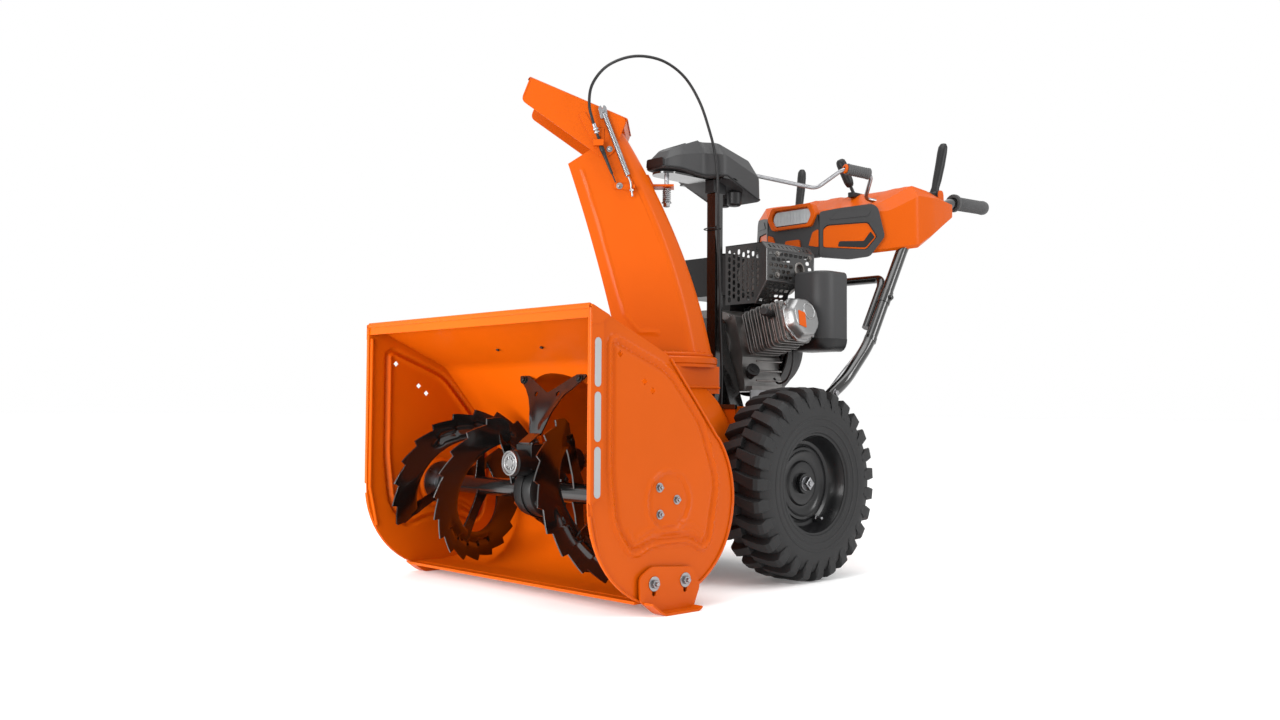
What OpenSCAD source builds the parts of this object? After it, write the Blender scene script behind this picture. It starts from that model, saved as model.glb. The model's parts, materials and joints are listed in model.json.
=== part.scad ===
// Walk-behind two stage snow blower.
// X runs across the machine with the operator's left at +X, and the auger faces -Y.
// Places are worked out with Y 0 on the auger axis; machine() moves them so that the
// origin is on the ground under the middle of the whole machine.

/* [Auger housing] */
// Width over the outer faces of the side plates
housing_w = 715; // [705:1:720]
// Height of the roof's front lip
lip_z = 531; // [525:1:535]
// Thickness of the housing sheet
sheet = 3; // [2.5:0.5:3.5]
// Radius of the rakes
auger_r = 160; // [150:1:161]
// Radius of the impeller
impeller_r = 172; // [160:1:173]

/* [Chute] */
// Angle of the stored chute about the vertical, 0 is straight ahead
chute_rest = -45.8; // [-60:0.1:-30]
// Thickness of the chute sheet
chute_sheet = 2.5; // [2:0.5:3]

/* [Wheels] */
// Radius of the tyres
tyre_r = 203; // [200:1:205]
// Width of each tyre
tyre_w = 122; // [110:1:124]
// Distance from the middle plane to the middle of each tyre
wheel_x = 255; // [254:1:258]

/* [Handlebars] */
// Distance from the middle plane to each handlebar
bar_x = 217; // [215:1:219]
// Radius of the handlebar tube
bar_r = 14; // [12:0.5:14.5]

/* [Hidden] */
$fn = 64;

// whole machine: front lip to grip ends
front_y = -190;
rear_y = 1318;
mid_y = (front_y + rear_y) / 2;

// paint and finish colours
paint = [0.93, 0.42, 0.10];
black = [0.12, 0.12, 0.13];
grey = [0.30, 0.30, 0.31];
zinc = [0.78, 0.78, 0.80];
cast = [0.55, 0.55, 0.56];

// housing outline, in the Y-Z plane
auger_z = 194;
belly_r = 168;
plate_out = housing_w / 2;
plate_in = plate_out - sheet;
lip = [front_y + sheet, lip_z];
corner = [5, 447];
roof_dir = (corner - lip) / norm(corner - lip);
roof_in = [roof_dir[1], -roof_dir[0]];
corner_a = atan2(corner[1] - auger_z, corner[0]);
tangent_a = corner_a - acos(belly_r / norm(corner - [0, auger_z]));
back_in = [-cos(tangent_a), -sin(tangent_a)];
scraper_y = -62;
nose_c = [-3, 196];
nose_r = 184;

// impeller drum
drum_z = 250;
drum_r = 181;
drum_back = 378;
shaft_r = 12.7;
fit = 0.05;

// chute axis and its upright chain of parts
chute_y = 345;
ring_r = 105;
ring_z = 470;
chute_z0 = 476;
chute_w = 75;
gear_z = 884;
gear_module = 3;
gear_teeth = 18;
pinion_teeth = 20;
pinion_y = chute_y + gear_module * (gear_teeth + pinion_teeth) / 2;
tilt_u = 127;
tilt_z = 914;
cheek_x = 75.6;

// tractor frame and wheels
frame_x = 175;
frame_y0 = 378;
frame_y1 = 672;
frame_z0 = 123;
frame_z1 = 364;
axle_y = 484;
axle_r = 12.7;
side_t = 2.5;

// engine
crank_x = -30;
crank_z = 505;
lean = 14.8;
head_y = 588;
head_x = 208;
deck_z = 402;
heater_x = 92;
filler_r = 22;
plug_a = [58, 556, 436];
plug_b = [76, 548, 446];
plug_c = [82, 545.3, 449.3];

// auger belt and its two pulleys
belt_y = 494;
belt_half = 3.5;
belt_t = 6;
small_r = 27;
large_r = 94;
rim_h = 10;

// tower post
post_x = 30;
post_y = 470;
post_half = 12.5;

// handlebar path, outward side at +X
bar_low = [191.5, 650, 358];
bar_path = [
    bar_low, [198, 668, 388], [bar_x, 705, 424], [bar_x, 795, 510],
    [bar_x, 947, 766], [bar_x, 1100, 868], [bar_x, 1161, 890], [bar_x, 1312, 896]
];
grip_y0 = 1164;

// crank from the tower head down to its bearing on the console
crank_a = [0, 590, 917];
crank_b = [150, 905, 873];
crank_d = (crank_b - crank_a) / norm(crank_b - crank_a);
crank_lean = 41;
crank_throw = 66;

// deflector cable: clamp on the cheek, over the top and down the post
cable_r = 3.2;
cable_path = [
    [-44, 183, 936], [-46, 166, 975], [-47, 157, 1008], [-44, 162, 1050],
    [-36, 192, 1092], [-25, 240, 1121], [-12, 289, 1132], [2, 340, 1126],
    [16, 386, 1098], [33, 415, 1046], [49, 429, 984], [64, 434, 924],
    [66, 440, 866], [57, 451, 800], [48.6, 462, 740], [48.6, 467, 660],
    [48.6, 468, 560], [52, 468, 500], [56, 466, 430], [58, 462, 366]
];
// traction cable: console to the idler spring beside the left handlebar
traction_r = 2.5;
traction_path = [
    [196, 948, 742], [196, 925, 700], [198, 905, 664], [198, 870, 606],
    [198, 835, 548], [194, 790, 498], [184, 730, 440], [170, 690, 392],
    [160, 665, 366]
];

// paddles and their pivots on the console
paddle_pivot = [bar_x, 1075, 898];
paddle_top = [bar_x + 9, 1106, 1028];
pin_r = 4;

// ---------------------------------------------------------------- helpers

module machine() {
    translate([0, -mid_y, 0]) children();
}

// extrudes a Y-Z outline across the machine from x0 to x1
module across(x0, x1) {
    translate([x0, 0, 0]) rotate([90, 0, 90]) linear_extrude(x1 - x0) children();
}

// extrudes an X-Z outline from y0 back to y1
module along(y0, y1) {
    translate([0, y1, 0]) rotate([90, 0, 0]) linear_extrude(y1 - y0) children();
}

// box between two corners
module block(a, b) {
    translate(a) cube(b - a);
}

// round bar between two points
module bar(p, q, r) {
    d = q - p;
    translate(p) rotate([0, acos(d[2] / norm(d)), atan2(d[1], d[0])]) cylinder(r = r, h = norm(d));
}

// round bars through a list of points, each run past its ends, for cutting clearance
module bar_chain(points, r) {
    for (i = [0 : len(points) - 2]) {
        over = unit(points[i + 1] - points[i]) * r / 3;
        bar(points[i] - over, points[i + 1] + over, r);
    }
}

module wheel_pose() {
    translate([0, axle_y, tyre_r]) children();
}

// cylinder along X between x0 and x1
module x_cyl(x0, x1, r) {
    translate([x0, 0, 0]) rotate([0, 90, 0]) cylinder(r = r, h = x1 - x0);
}

// cylinder along Y between y0 and y1
module y_cyl(y0, y1, r) {
    translate([0, y1, 0]) rotate([90, 0, 0]) cylinder(r = r, h = y1 - y0);
}

// hexagon head along X, pointing to +X from x0
module x_hex(x0, r, h) {
    translate([x0, 0, 0]) rotate([0, 90, 0]) cylinder(r = r, h = h, $fn = 6);
}

module both_sides() {
    children();
    mirror([1, 0, 0]) children();
}

// chute frame: Z up, -Y the way the stored chute points
module chute_pose() {
    translate([0, chute_y, 0]) rotate([0, 0, chute_rest]) children();
}

// crank frame: Z along the crank shaft from the tower head to the console
module crank_pose() {
    translate(crank_a)
        rotate([0, acos(crank_d[2]), atan2(crank_d[1], crank_d[0])])
            children();
}

// engine cylinder frame: X out along the leaning cylinder from the crankshaft
module bore_pose() {
    translate([crank_x, head_y, crank_z]) rotate([0, -lean, 0]) children();
}

function arc(c, r, a0, a1, n) =
    [for (i = [0 : n]) c + r * [cos(a0 + (a1 - a0) * i / n), sin(a0 + (a1 - a0) * i / n)]];

// corner of two faces, moved inward by d from both
function inset(p, n1, n2, d) = p + d * (n1 + n2) / (1 + n1 * n2);

// path of the folded wrap, d inside its outer face, from the lip to the scraper
function wrap_path(d) = concat(
    [lip + d * roof_in, inset(corner, roof_in, back_in, d)],
    arc([0, auger_z], belly_r - d, tangent_a, -90, 24),
    [[scraper_y, auger_z - belly_r + d]]
);

function reversed(list) = [for (i = [len(list) - 1 : -1 : 0]) list[i]];

// side plate outline
function plate_outline() = concat(
    [lip, corner],
    arc([0, auger_z], belly_r, tangent_a, -90, 24),
    arc(nose_c, nose_r, 248, 180, 10)
);

// triangles that join ring i to ring i + 1 of a tube with m sides
function band(i, m) = [for (j = [0 : m - 1]) each [
    [i * m + j, i * m + (j + 1) % m, (i + 1) * m + j],
    [(i + 1) * m + j, i * m + (j + 1) % m, (i + 1) * m + (j + 1) % m]
]];

// closed skin over k rings of m points each
function skin(k, m) = concat(
    [for (j = [1 : m - 2]) [0, j + 1, j]],
    [for (i = [0 : k - 2]) each band(i, m)],
    [for (j = [1 : m - 2]) [(k - 1) * m, (k - 1) * m + j, (k - 1) * m + j + 1]]
);

function unit(v) = v / norm(v);

// direction of a route at its point i
function heading(p, i) = unit(p[min(i + 1, len(p) - 1)] - p[max(i - 1, 0)]);

function flipped(faces) = [for (f = faces) [f[0], f[2], f[1]]];

// ring of n points about route point i, square to the route; side_ref is never along it
function ring(p, i, r, n, side_ref) = let (
    t = heading(p, i),
    side = unit(side_ref - (side_ref * t) * t),
    up = cross(t, side)
) [for (k = [0 : n - 1]) p[i] + r * (side * cos(360 * k / n) + up * sin(360 * k / n))];

// solid line along a route, with one radius for each of its points
module swept_rod(route, radii, n, side_ref) {
    polyhedron(
        points = [for (i = [0 : len(route) - 1]) each ring(route, i, radii[i], n, side_ref)],
        faces = flipped(skin(len(route), n)),
        convexity = 6
    );
}

// solid line of one radius along a route
module swept_line(route, r, n) {
    swept_rod(route, [for (p = route) r], n, [1, 0, 0]);
}

// hollow tube along a route, open at both ends
module swept_tube(route, r, wall, n, side_ref) {
    k = len(route);
    m = 2 * n;
    quads = [for (j = [0 : n - 1]) let (j1 = (j + 1) % n) [j, j1, n + j, n + j1]];
    ends = concat(
        [for (q = quads) each [[q[0], q[2], q[1]], [q[2], q[3], q[1]]]],
        [for (q = quads) let (o = (k - 1) * m)
            each [[o + q[0], o + q[1], o + q[2]], [o + q[2], o + q[1], o + q[3]]]]
    );
    walls = [for (i = [0 : k - 2]) for (q = quads) let (a = i * m, b = a + m) each [
        [a + q[0], a + q[1], b + q[0]], [b + q[0], a + q[1], b + q[1]],
        [a + q[3], a + q[2], b + q[2]], [a + q[3], b + q[2], b + q[3]]
    ]];
    polyhedron(
        points = [for (i = [0 : k - 1])
            each concat(ring(route, i, r, n, side_ref), ring(route, i, r - wall, n, side_ref))],
        faces = flipped(concat(ends, walls)),
        convexity = 10
    );
}

// helical blade about the X axis: r0 to r1, from angle a0 to a1, x_top where a = 0
module flight(x_top, pitch, a0, a1, r0, r1, blade) {
    steps = round((a1 - a0) / 12);
    angles = [for (i = [0 : steps]) a0 + (a1 - a0) * i / steps];
    polyhedron(
        points = [for (a = angles) each [
            for (c = [[r0, -1], [r1, -1], [r1, 1], [r0, 1]])
                [x_top + pitch * a / 360 + c[1] * blade / 2, -c[0] * sin(a), c[0] * cos(a)]
        ]],
        faces = skin(steps + 1, 4),
        convexity = 8
    );
}

// flat gear with trapezoid teeth, a gap at angle 0 when phase is 0
module spur(teeth, module_size, h, bore_r, phase) {
    pitch_r = teeth * module_size / 2;
    step = 360 / teeth;
    difference() {
        linear_extrude(h) polygon([for (i = [0 : teeth - 1]) each [
            for (c = [[0.22, -1.2], [0.40, 0.9], [0.60, 0.9], [0.78, -1.2]])
                (pitch_r + c[1] * module_size) * [
                    cos((i + c[0]) * step + phase), sin((i + c[0]) * step + phase)
                ]
        ]]);
        translate([0, 0, -1]) cylinder(r = bore_r, h = h + 2);
    }
}

// ---------------------------------------------------------------- auger housing

module housing_wrap() {
    color(paint) machine() difference() {
        union() {
            across(-plate_in, plate_in)
                polygon(concat(wrap_path(0), reversed(wrap_path(sheet))));
            block([-plate_in, front_y, lip_z - 18], [plate_in, front_y + sheet, lip_z]);
        }
        translate([0, 0, drum_z]) y_cyl(-100, 300, drum_r);
    }
}

module side_plates() {
    hole_half = 4.5;
    color(paint) machine() both_sides() difference() {
        across(plate_in, plate_out) polygon(plate_outline());
        for (p = [[-118.5, 450.5], [-60.8, 404.2], [-41.3, 388.5]])
            translate([plate_in - 1, p[0], p[1]]) rotate([45, 0, 0])
                translate([0, -hole_half, -hole_half]) cube([sheet + 2, 2 * hole_half, 2 * hole_half]);
        for (y = [-41, 36])
            translate([0, y, 51]) x_cyl(plate_in - 1, plate_out + 1, 4.6);
    }
}

module reflector_strips() {
    strip_y0 = -178;
    strip_y1 = -160;
    color(zinc) machine() for (z = [[204, 290], [299, 386], [395, 478]])
        block([plate_out, strip_y0, z[0]], [plate_out + 1, strip_y1, z[1]]);
}

module impeller_drum() {
    box_x = 98;
    box_y0 = 243;
    box_y1 = 419;
    box_top = 450;
    mouth_r = ring_r - 9;
    color(paint) machine() difference() {
        union() {
            difference() {
                translate([0, 0, drum_z]) y_cyl(0, drum_back, drum_r);
                translate([0, 0, drum_z]) y_cyl(-1, drum_back - sheet, drum_r - sheet);
                across(-200, 200) polygon(concat(wrap_path(sheet), [[lip[0], 0]]));
            }
            difference() {
                block([-box_x, box_y0, 391], [box_x, box_y1, box_top]);
                translate([0, 0, drum_z]) y_cyl(box_y0 - 1, drum_back - sheet, drum_r - 1);
                block(
                    [-box_x + sheet, box_y0 + sheet, 394],
                    [box_x - sheet, box_y1 - sheet, box_top - sheet]
                );
            }
            translate([0, chute_y, box_top - sheet]) cylinder(r = ring_r, h = sheet + 4);
        }
        translate([0, chute_y, 400]) cylinder(r = mouth_r, h = 100);
        block([-box_x + sheet, box_y0 + sheet, 380], [box_x - sheet, drum_back - sheet, box_top - sheet]);
        translate([0, 0, drum_z]) y_cyl(drum_back - 10, drum_back + 1, 24);
    }
}

module scraper_bar() {
    color(paint) machine() difference() {
        block(
            [-plate_in, scraper_y - 18, auger_z - belly_r - 5],
            [plate_in, scraper_y + 44, auger_z - belly_r]
        );
        for (x = [-280, -140, 0, 140, 280])
            translate([x, scraper_y + 25, 0]) cylinder(r = 4.2, h = 60);
    }
}

module skid_shoes() {
    foot_x = plate_out + 28.5;
    shoe = [
        [-75, 68], [-74, 26], [-40, 4], [-36, 0], [56, 0], [60, 8], [75, 42], [54, 76], [-46, 84]
    ];
    color(paint) machine() both_sides() {
        difference() {
            union() {
                across(plate_out, plate_out + 4) polygon(shoe);
                across(plate_out, foot_x)
                    polygon([[-40, 4], [-36, 0], [56, 0], [60, 8], [56, 4], [-36, 4]]);
            }
            for (y = [-41, 36])
                hull() for (z = [40, 60])
                    translate([0, y, z]) x_cyl(plate_out - 1, plate_out + 5, 4.6);
        }
    }
}

module housing_bolts() {
    head_h = 6;
    color(zinc) machine() both_sides() {
        for (y = [-41, 36]) translate([0, y, 51]) {
            x_cyl(plate_in - 10, plate_out + 18, 4);
            x_cyl(plate_out + 4, plate_out + 6, 9.5);
            x_hex(plate_out + 6, 8, 8);
            x_cyl(plate_in - 6, plate_in, 9);
        }
        for (p = [[-23, 219], [20, 196], [-22, 172]]) translate([0, p[0], p[1]])
            x_hex(plate_out, 6.5, head_h);
    }
}

module auger_bushes() {
    color(zinc) machine() both_sides() translate([0, 0, auger_z]) difference() {
        union() {
            x_cyl(plate_in - 18, plate_in, 20);
            x_cyl(plate_in - 4, plate_in, 45);
        }
        x_cyl(plate_in - 30, plate_in + 1, shaft_r + fit);
    }
}

// ---------------------------------------------------------------- drive train in the housing

module gearcase() {
    case_x = 30;
    color(black) machine() difference() {
        union() {
            translate([0, 0, auger_z]) x_cyl(-case_x, case_x, 52);
            translate([0, 0, drum_z]) y_cyl(-80, 92, 26);
            translate([0, 0, auger_z]) x_cyl(-case_x - 14, case_x + 14, 24);
            block([-case_x, -44, 268], [case_x, 44, 292]);
        }
        translate([0, 0, auger_z]) x_cyl(-case_x + 6, case_x - 6, 46);
        translate([0, 0, auger_z]) x_cyl(-60, 60, shaft_r + fit);
        translate([0, 0, drum_z]) y_cyl(-60, 60, 20);
        translate([0, 0, drum_z]) y_cyl(-70, 100, shaft_r + fit);
    }
}

// Y-shaped stay from the gearcase up to the back wall
module gearcase_brace() {
    foot = [0, -22, 296];
    slope = 20.4;
    half = [[17, 0], [36, 52], [54, 82], [78, 103], [104, 122], [104, 131], [80, 131], [0, 90]];
    color(black) machine() {
        translate(foot) rotate([90 - slope, 0, 0]) linear_extrude(3) difference() {
            polygon(concat(half, [for (i = [len(half) - 2 : -1 : 0]) [-half[i][0], half[i][1]]]));
            for (s = [-1, 1]) translate([s * 34, 88]) circle(r = 5);
        }
        block([-20, -40, 292.2], [20, -19, 297]);
    }
}

module auger_shaft() {
    color(zinc) machine() translate([0, 0, auger_z]) x_cyl(-plate_in + 1, plate_in - 1, shaft_r);
}

// one rake: tube, two flights and the arms that carry them; each sweep is the
// first and last angle of a flight about the shaft, 0 at the top
module rake(first_top, sweeps) {
    tube_r = 19;
    tube_x0 = 50;
    tube_x1 = 334;
    pitch = 300;
    rim_r = 98;
    blade = 4;
    color(black) machine() translate([0, 0, auger_z]) {
        across(tube_x0, tube_x1) difference() {
            polygon(arc([0, 0], tube_r, 0, 350, 35));
            polygon(arc([0, 0], shaft_r + fit, 0, 350, 35));
        }
        for (k = [0, 1]) {
            sweep = sweeps[k];
            top = first_top + k * pitch / 2;
            flight(top, pitch, sweep[0], sweep[1], rim_r, auger_r, blade);
            for (a = [sweep[0] + 6, (sweep[0] + sweep[1]) / 2, sweep[1] - 6])
                translate([top + pitch * a / 360, 0, 0]) rotate([a, 0, 0])
                    block([-8, -6, tube_r - 4], [8, 6, rim_r + 12]);
        }
    }
}

module auger_rake_left() {
    rake(105, [[12, 250], [-180, 85]]);
}

module auger_rake_right() {
    mirror([1, 0, 0]) rake(65, [[12, 300], [-132, 126]]);
}

module worm_wheel() {
    color("goldenrod") machine() translate([0, 0, auger_z]) difference() {
        union() {
            x_cyl(-9, 9, 34);
            for (a = [0 : 18 : 342])
                rotate([a + 9, 0, 0]) block([-9, -2.4, 30], [9, 2.4, 38]);
        }
        x_cyl(-10, 10, shaft_r);
    }
}

module impeller() {
    blade_y0 = 205;
    blade_y1 = 350;
    hub_r = 30;
    color(black) machine() translate([0, 0, drum_z]) along(blade_y0, blade_y1) difference() {
        union() {
            circle(r = hub_r);
            for (a = [30, 150, 270]) rotate(a) {
                translate([-3, 0]) square([6, impeller_r - 0.2]);
                translate([-3, 150]) square([33, 4]);
            }
        }
        circle(r = shaft_r);
    }
}

module impeller_shaft() {
    color(zinc) machine() {
        translate([0, 0, drum_z]) {
            y_cyl(-68, belt_y + 22, shaft_r);
            y_cyl(-34, 34, 16);
        }
        pulley([0, drum_z], large_r);
    }
}

// flat-bottomed pulley for the auger belt, centred on c in the X-Z plane
module pulley(c, r) {
    translate([c[0], 0, c[1]]) {
        y_cyl(belt_y - 6, belt_y + 6, r);
        y_cyl(belt_y - 6, belt_y - 4.5, r + rim_h);
        y_cyl(belt_y + 4.5, belt_y + 6, r + rim_h);
    }
}

// outline of a belt run round circles c1, r1 and c2, r2
function belt_outline(c1, r1, c2, r2) = let (
    base = atan2(c2[1] - c1[1], c2[0] - c1[0]),
    wrap = acos((r1 - r2) / norm(c2 - c1))
) concat(
    arc(c1, r1, base + wrap, base + 360 - wrap, 24),
    arc(c2, r2, base - wrap, base + wrap, 40)
);

module auger_belt() {
    top = [crank_x, crank_z];
    low = [0, drum_z];
    slack = 0.6;
    color(black) machine() along(belt_y - belt_half, belt_y + belt_half) difference() {
        polygon(belt_outline(top, small_r + slack + belt_t, low, large_r + slack + belt_t));
        polygon(belt_outline(top, small_r + slack, low, large_r + slack));
    }
}

// ---------------------------------------------------------------- chute

module chute_base() {
    color(paint) machine() translate([0, chute_y, 454]) difference() {
        union() {
            cylinder(r = ring_r, h = ring_z - 454);
            cylinder(r = ring_r + 3, h = 8);
        }
        translate([0, 0, -1]) cylinder(r = ring_r - 9, h = 30);
    }
}

// chute back and front edges along its length, s from 0 at the ring to 1 at the top
function back_u(s) = -100 + 95 * s + 100 * s * s;
function back_z(s) = chute_z0 + 484 * s;
function front_u(s) = 98 + 90 * s + 24 * s * s;
function front_z(s) = chute_z0 + 409 * s;
function fold_u(s) = 20 + 20 * (1 - s);

// cross-section of the chute channel: outer face then inner face
function chute_section(s) = let (
    t = chute_sheet,
    b = [back_u(s), back_z(s)],
    f = [front_u(s), front_z(s)],
    along_wall = unit(f - b),
    fold = b + along_wall * fold_u(s),
    panel_x = 45 - 10 * (1 - s),
    outer = [[chute_w, f], [chute_w, fold], [panel_x, b], [-panel_x, b], [-chute_w, fold], [-chute_w, f]],
    inner = [
        [-chute_w + t, f], [-chute_w + t, fold + along_wall * t], [-panel_x + t, b + along_wall * t],
        [panel_x - t, b + along_wall * t], [chute_w - t, fold + along_wall * t], [chute_w - t, f]
    ]
) [for (q = concat(outer, inner)) [q[0], -q[1][0], q[1][1]]];

module chute() {
    stations = 12;
    ring_h = 8;
    color(paint) machine() chute_pose() {
        difference() {
            polyhedron(
                points = [for (i = [0 : stations]) each chute_section(i / stations)],
                faces = flipped(chute_faces(stations + 1)),
                convexity = 10
            );
            translate([0, -tilt_u, tilt_z]) x_cyl(-90, 90, 5.1);
        }
        translate([0, 0, ring_z + 0.5]) difference() {
            cylinder(r = ring_r - 1, h = ring_h);
            translate([0, 0, -1]) cylinder(r = ring_r - 12, h = ring_h + 2);
        }
    }
}

// the channel's section is not convex, so its two ends are closed wall by wall
function chute_faces(k) = concat(
    [for (j = [0 : 4]) each [[j, 11 - j, j + 1], [j + 1, 11 - j, 10 - j]]],
    [for (i = [0 : k - 2]) each band(i, 12)],
    [for (j = [0 : 4]) each let (o = (k - 1) * 12)
        [[o + j, o + j + 1, o + 11 - j], [o + j + 1, o + 10 - j, o + 11 - j]]]
);

// gear, spindle and arm that hang the chute from the tower head, with the spring
// pin's lug on the chute's left wall
module chute_gear() {
    arm = [[-16, 846], [31, 846], [44.6, 872], [39.6, 872], [29, 851], [-16, 851]];
    color(paint) machine() chute_pose() {
        rotate([0, 0, 90 - chute_rest]) translate([0, 0, gear_z])
            spur(gear_teeth, gear_module, 8, 3, 0);
        translate([0, 0, 804]) cylinder(r = 6, h = gear_z + 8 - 804);
        translate([0, 0, 804]) cylinder(r = 8.5, h = 8, $fn = 6);
        translate([0, 0, 812]) cylinder(r = 11, h = 2);
        for (z = [816 : 7 : 837]) translate([0, 0, z]) cylinder(r = 9, h = 4);
        across(-22, 22) polygon([for (p = arm) [-p[0], p[1]]]);
        block([chute_w, -112, 828], [chute_w + 3, -68, 838]);
    }
}

// side outline of the deflector hood, u forward and z up
hood = [[85, 982], [296, 1074], [315, 1024], [135, 895], [112, 908]];

module deflector() {
    t = chute_sheet;
    roof = [hood[0], hood[1], hood[1] - [2, 4], hood[0] - [-2, 4]];
    color(paint) machine() chute_pose() {
        both_sides() {
            translate([cheek_x, 0, 0]) rotate([90, 0, 90])
                linear_extrude(t) polygon([for (p = hood) [-p[0], p[1]]]);
            translate([0, -tilt_u, tilt_z]) {
                x_cyl(72, cheek_x + 1, 5);
                x_cyl(cheek_x, cheek_x + t + 4, 9);
            }
        }
        rotate([90, 0, 90]) translate([0, 0, -cheek_x - t])
            linear_extrude(2 * (cheek_x + t)) polygon([for (p = roof) [-p[0], p[1]]]);
        // cable clamp bracket on the left cheek
        block([cheek_x + t, -156, 918], [cheek_x + t + 3, -134, 962]);
        block([cheek_x + t, -150, 928], [cheek_x + t + 16, -138, 934]);
    }
}

module deflector_spring() {
    top = [86, -134, 992];
    low = [86, -76, 842];
    d = unit(low - top);
    color(zinc) machine() chute_pose() {
        bar(top + d * 12, low - d * 4, 5);
        bar(low, low + d * 34, 3);
    }
}

// ---------------------------------------------------------------- tower

module tower_post() {
    top_z = 874;
    foot_x = post_x + post_half;
    foot_y = post_y - post_half;
    color(black) machine() {
        difference() {
            block([post_x - post_half, foot_y, frame_z1], [foot_x, post_y + post_half, top_z]);
            block(
                [post_x - post_half + 2, foot_y + 2, frame_z1 - 1],
                [foot_x - 2, post_y + post_half - 2, top_z + 1]
            );
        }
        block([post_x - 34, post_y - 30, frame_z1], [post_x - post_half, post_y + post_half, frame_z1 + 5]);
        block([foot_x, foot_y - 26, frame_z1], [foot_x + 3, post_y + post_half, frame_z1 + 52]);
        for (z = [380, 404]) translate([0, foot_y - 13, z]) x_hex(foot_x + 3, 7, 5);
    }
}

module tower_head() {
    plate_z = 874;
    color(black) machine() {
        difference() {
            union() {
                translate([0, chute_y, plate_z]) cylinder(r = 32, h = 4);
                block([-32, chute_y, plate_z], [32, 452, plate_z + 4]);
                block([-64, 452, plate_z], [74, 512, plate_z + 4]);
                block([-44, 512, plate_z], [58, 560, plate_z + 4]);
            }
            translate([0, chute_y, plate_z - 1]) cylinder(r = 6.05, h = 6);
        }
        translate([0, pinion_y, plate_z + 4]) cylinder(r = 6, h = 22);
    }
}

// plan of the head cover, moved in by d
function cover_plan(d) = [
    [-30 + d, 310 + d], [30 - d, 310 + d], [38 - d, 345], [42 - d, 425 + d], [74 - d, 452 + d],
    [74 - d, 575 - d], [60, 586 - d], [-50, 586 - d], [-64 + d, 575 - d], [-64 + d, 452 + d],
    [-42 + d, 425 + d], [-38 + d, 345]
];

module head_cover() {
    wall = 3;
    side = [
        [309, 884], [309, 912], [345, 934], [420, 962], [520, 948], [572, 925], [584, 900],
        [584, 852], [512, 852], [512, 878], [440, 878]
    ];
    hollow = [
        [300, 870], [313, 909], [345, 930], [420, 958], [520, 944], [568, 922], [580, 898],
        [580, 840], [516, 840], [516, 872]
    ];
    color(grey) machine() difference() {
        intersection() {
            across(-80, 80) polygon(side);
            linear_extrude(1000) polygon(cover_plan(0));
        }
        intersection() {
            across(-80, 80) polygon(hollow);
            linear_extrude(1000) polygon(cover_plan(wall));
        }
        crank_pose() translate([0, 0, -60]) cylinder(r = 9, h = 90);
    }
}

module chute_pinion() {
    color(zinc) machine() translate([0, pinion_y, gear_z]) {
        rotate([0, 0, -90]) spur(pinion_teeth, gear_module, 8, 6.06, 9);
        translate([0, 0, 8]) difference() {
            cylinder(r = 20, h = 10);
            translate([0, 0, -1]) cylinder(r = 6.06, h = 20);
        }
    }
}

// the crank is one bent rod with a fat grip on its throw
module chute_crank() {
    rod_r = 4.8;
    grip_r = 14;
    boss_r = 8;
    bend = 200;
    rise = 246;
    fall = 322;
    tip = 334;
    route = [
        [0, 0, -66], [0, 0, -54], [0, 0, -53], [0, 0, bend], [crank_throw, 0, rise],
        [crank_throw, 0, rise + 6], [crank_throw, 0, rise + 7], [crank_throw, 0, fall - 7],
        [crank_throw, 0, fall - 6], [crank_throw, 0, fall], [0, 0, tip], [0, 0, tip + 28]
    ];
    radii = [boss_r, boss_r, rod_r, rod_r, rod_r, rod_r, grip_r, grip_r, rod_r, rod_r, rod_r, rod_r];
    color(zinc) machine() crank_pose() throw_pose() swept_rod(route, radii, 16, [0, 1, 0]);
}

// turns the crank's own frame so that +X is the way the handle leans
module throw_pose() {
    rotate([0, 0, 180 + crank_lean]) children();
}

// ---------------------------------------------------------------- frame and engine

module tractor_frame() {
    color(paint) machine() {
        difference() {
            block([-frame_x, frame_y0, frame_z0], [frame_x, frame_y1, frame_z1]);
            block(
                [-frame_x + sheet, frame_y0 + sheet, frame_z0 - 1],
                [frame_x - sheet, frame_y1 - sheet, frame_z1 - sheet]
            );
            translate([0, 0, drum_z]) y_cyl(frame_y0 - 1, frame_y0 + sheet + 1, 30);
            block([-100, 486, frame_z1 - 5], [100, 524, frame_z1 + 1]);
            wheel_pose() x_cyl(-frame_x - 1, frame_x + 1, axle_r + fit);
        }
        // axle bearings inside and handlebar brackets outside
        both_sides() {
            wheel_pose() difference() {
                x_cyl(frame_x - 20, frame_x - sheet, 24);
                x_cyl(frame_x - 21, frame_x, axle_r + fit);
            }
            block([frame_x, frame_y1 - 60, frame_z1 - 40], [frame_x + side_t, frame_y1, frame_z1]);
        }
    }
}

module frame_cover() {
    color(black) machine() difference() {
        block([-frame_x, frame_y0, frame_z0 - 3], [frame_x, frame_y1, frame_z0]);
        for (x = [-150, 150]) for (y = [400, 640])
            translate([x, y, frame_z0 - 10]) cylinder(r = 3.2, h = 20);
    }
}

module belt_cover() {
    outer = [
        [-104, frame_z1], [68, frame_z1], [14, 515], [14, 556], [4, 566], [-78, 566],
        [-88, 556], [-88, 490]
    ];
    inner = [
        [-102, frame_z1 - 1], [66, frame_z1 - 1], [12, 515], [12, 555], [3, 564], [-77, 564],
        [-86, 555], [-86, 490]
    ];
    color(black) machine() difference() {
        along(484, 527) polygon(outer);
        along(486, 528) polygon(inner);
    }
}

module engine_plate() {
    color(zinc) machine() difference() {
        block([-112, 532, frame_z1], [84, 663, deck_z]);
        block([-109, 531, frame_z1 - 1], [81, 664, deck_z - 3]);
    }
}

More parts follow.
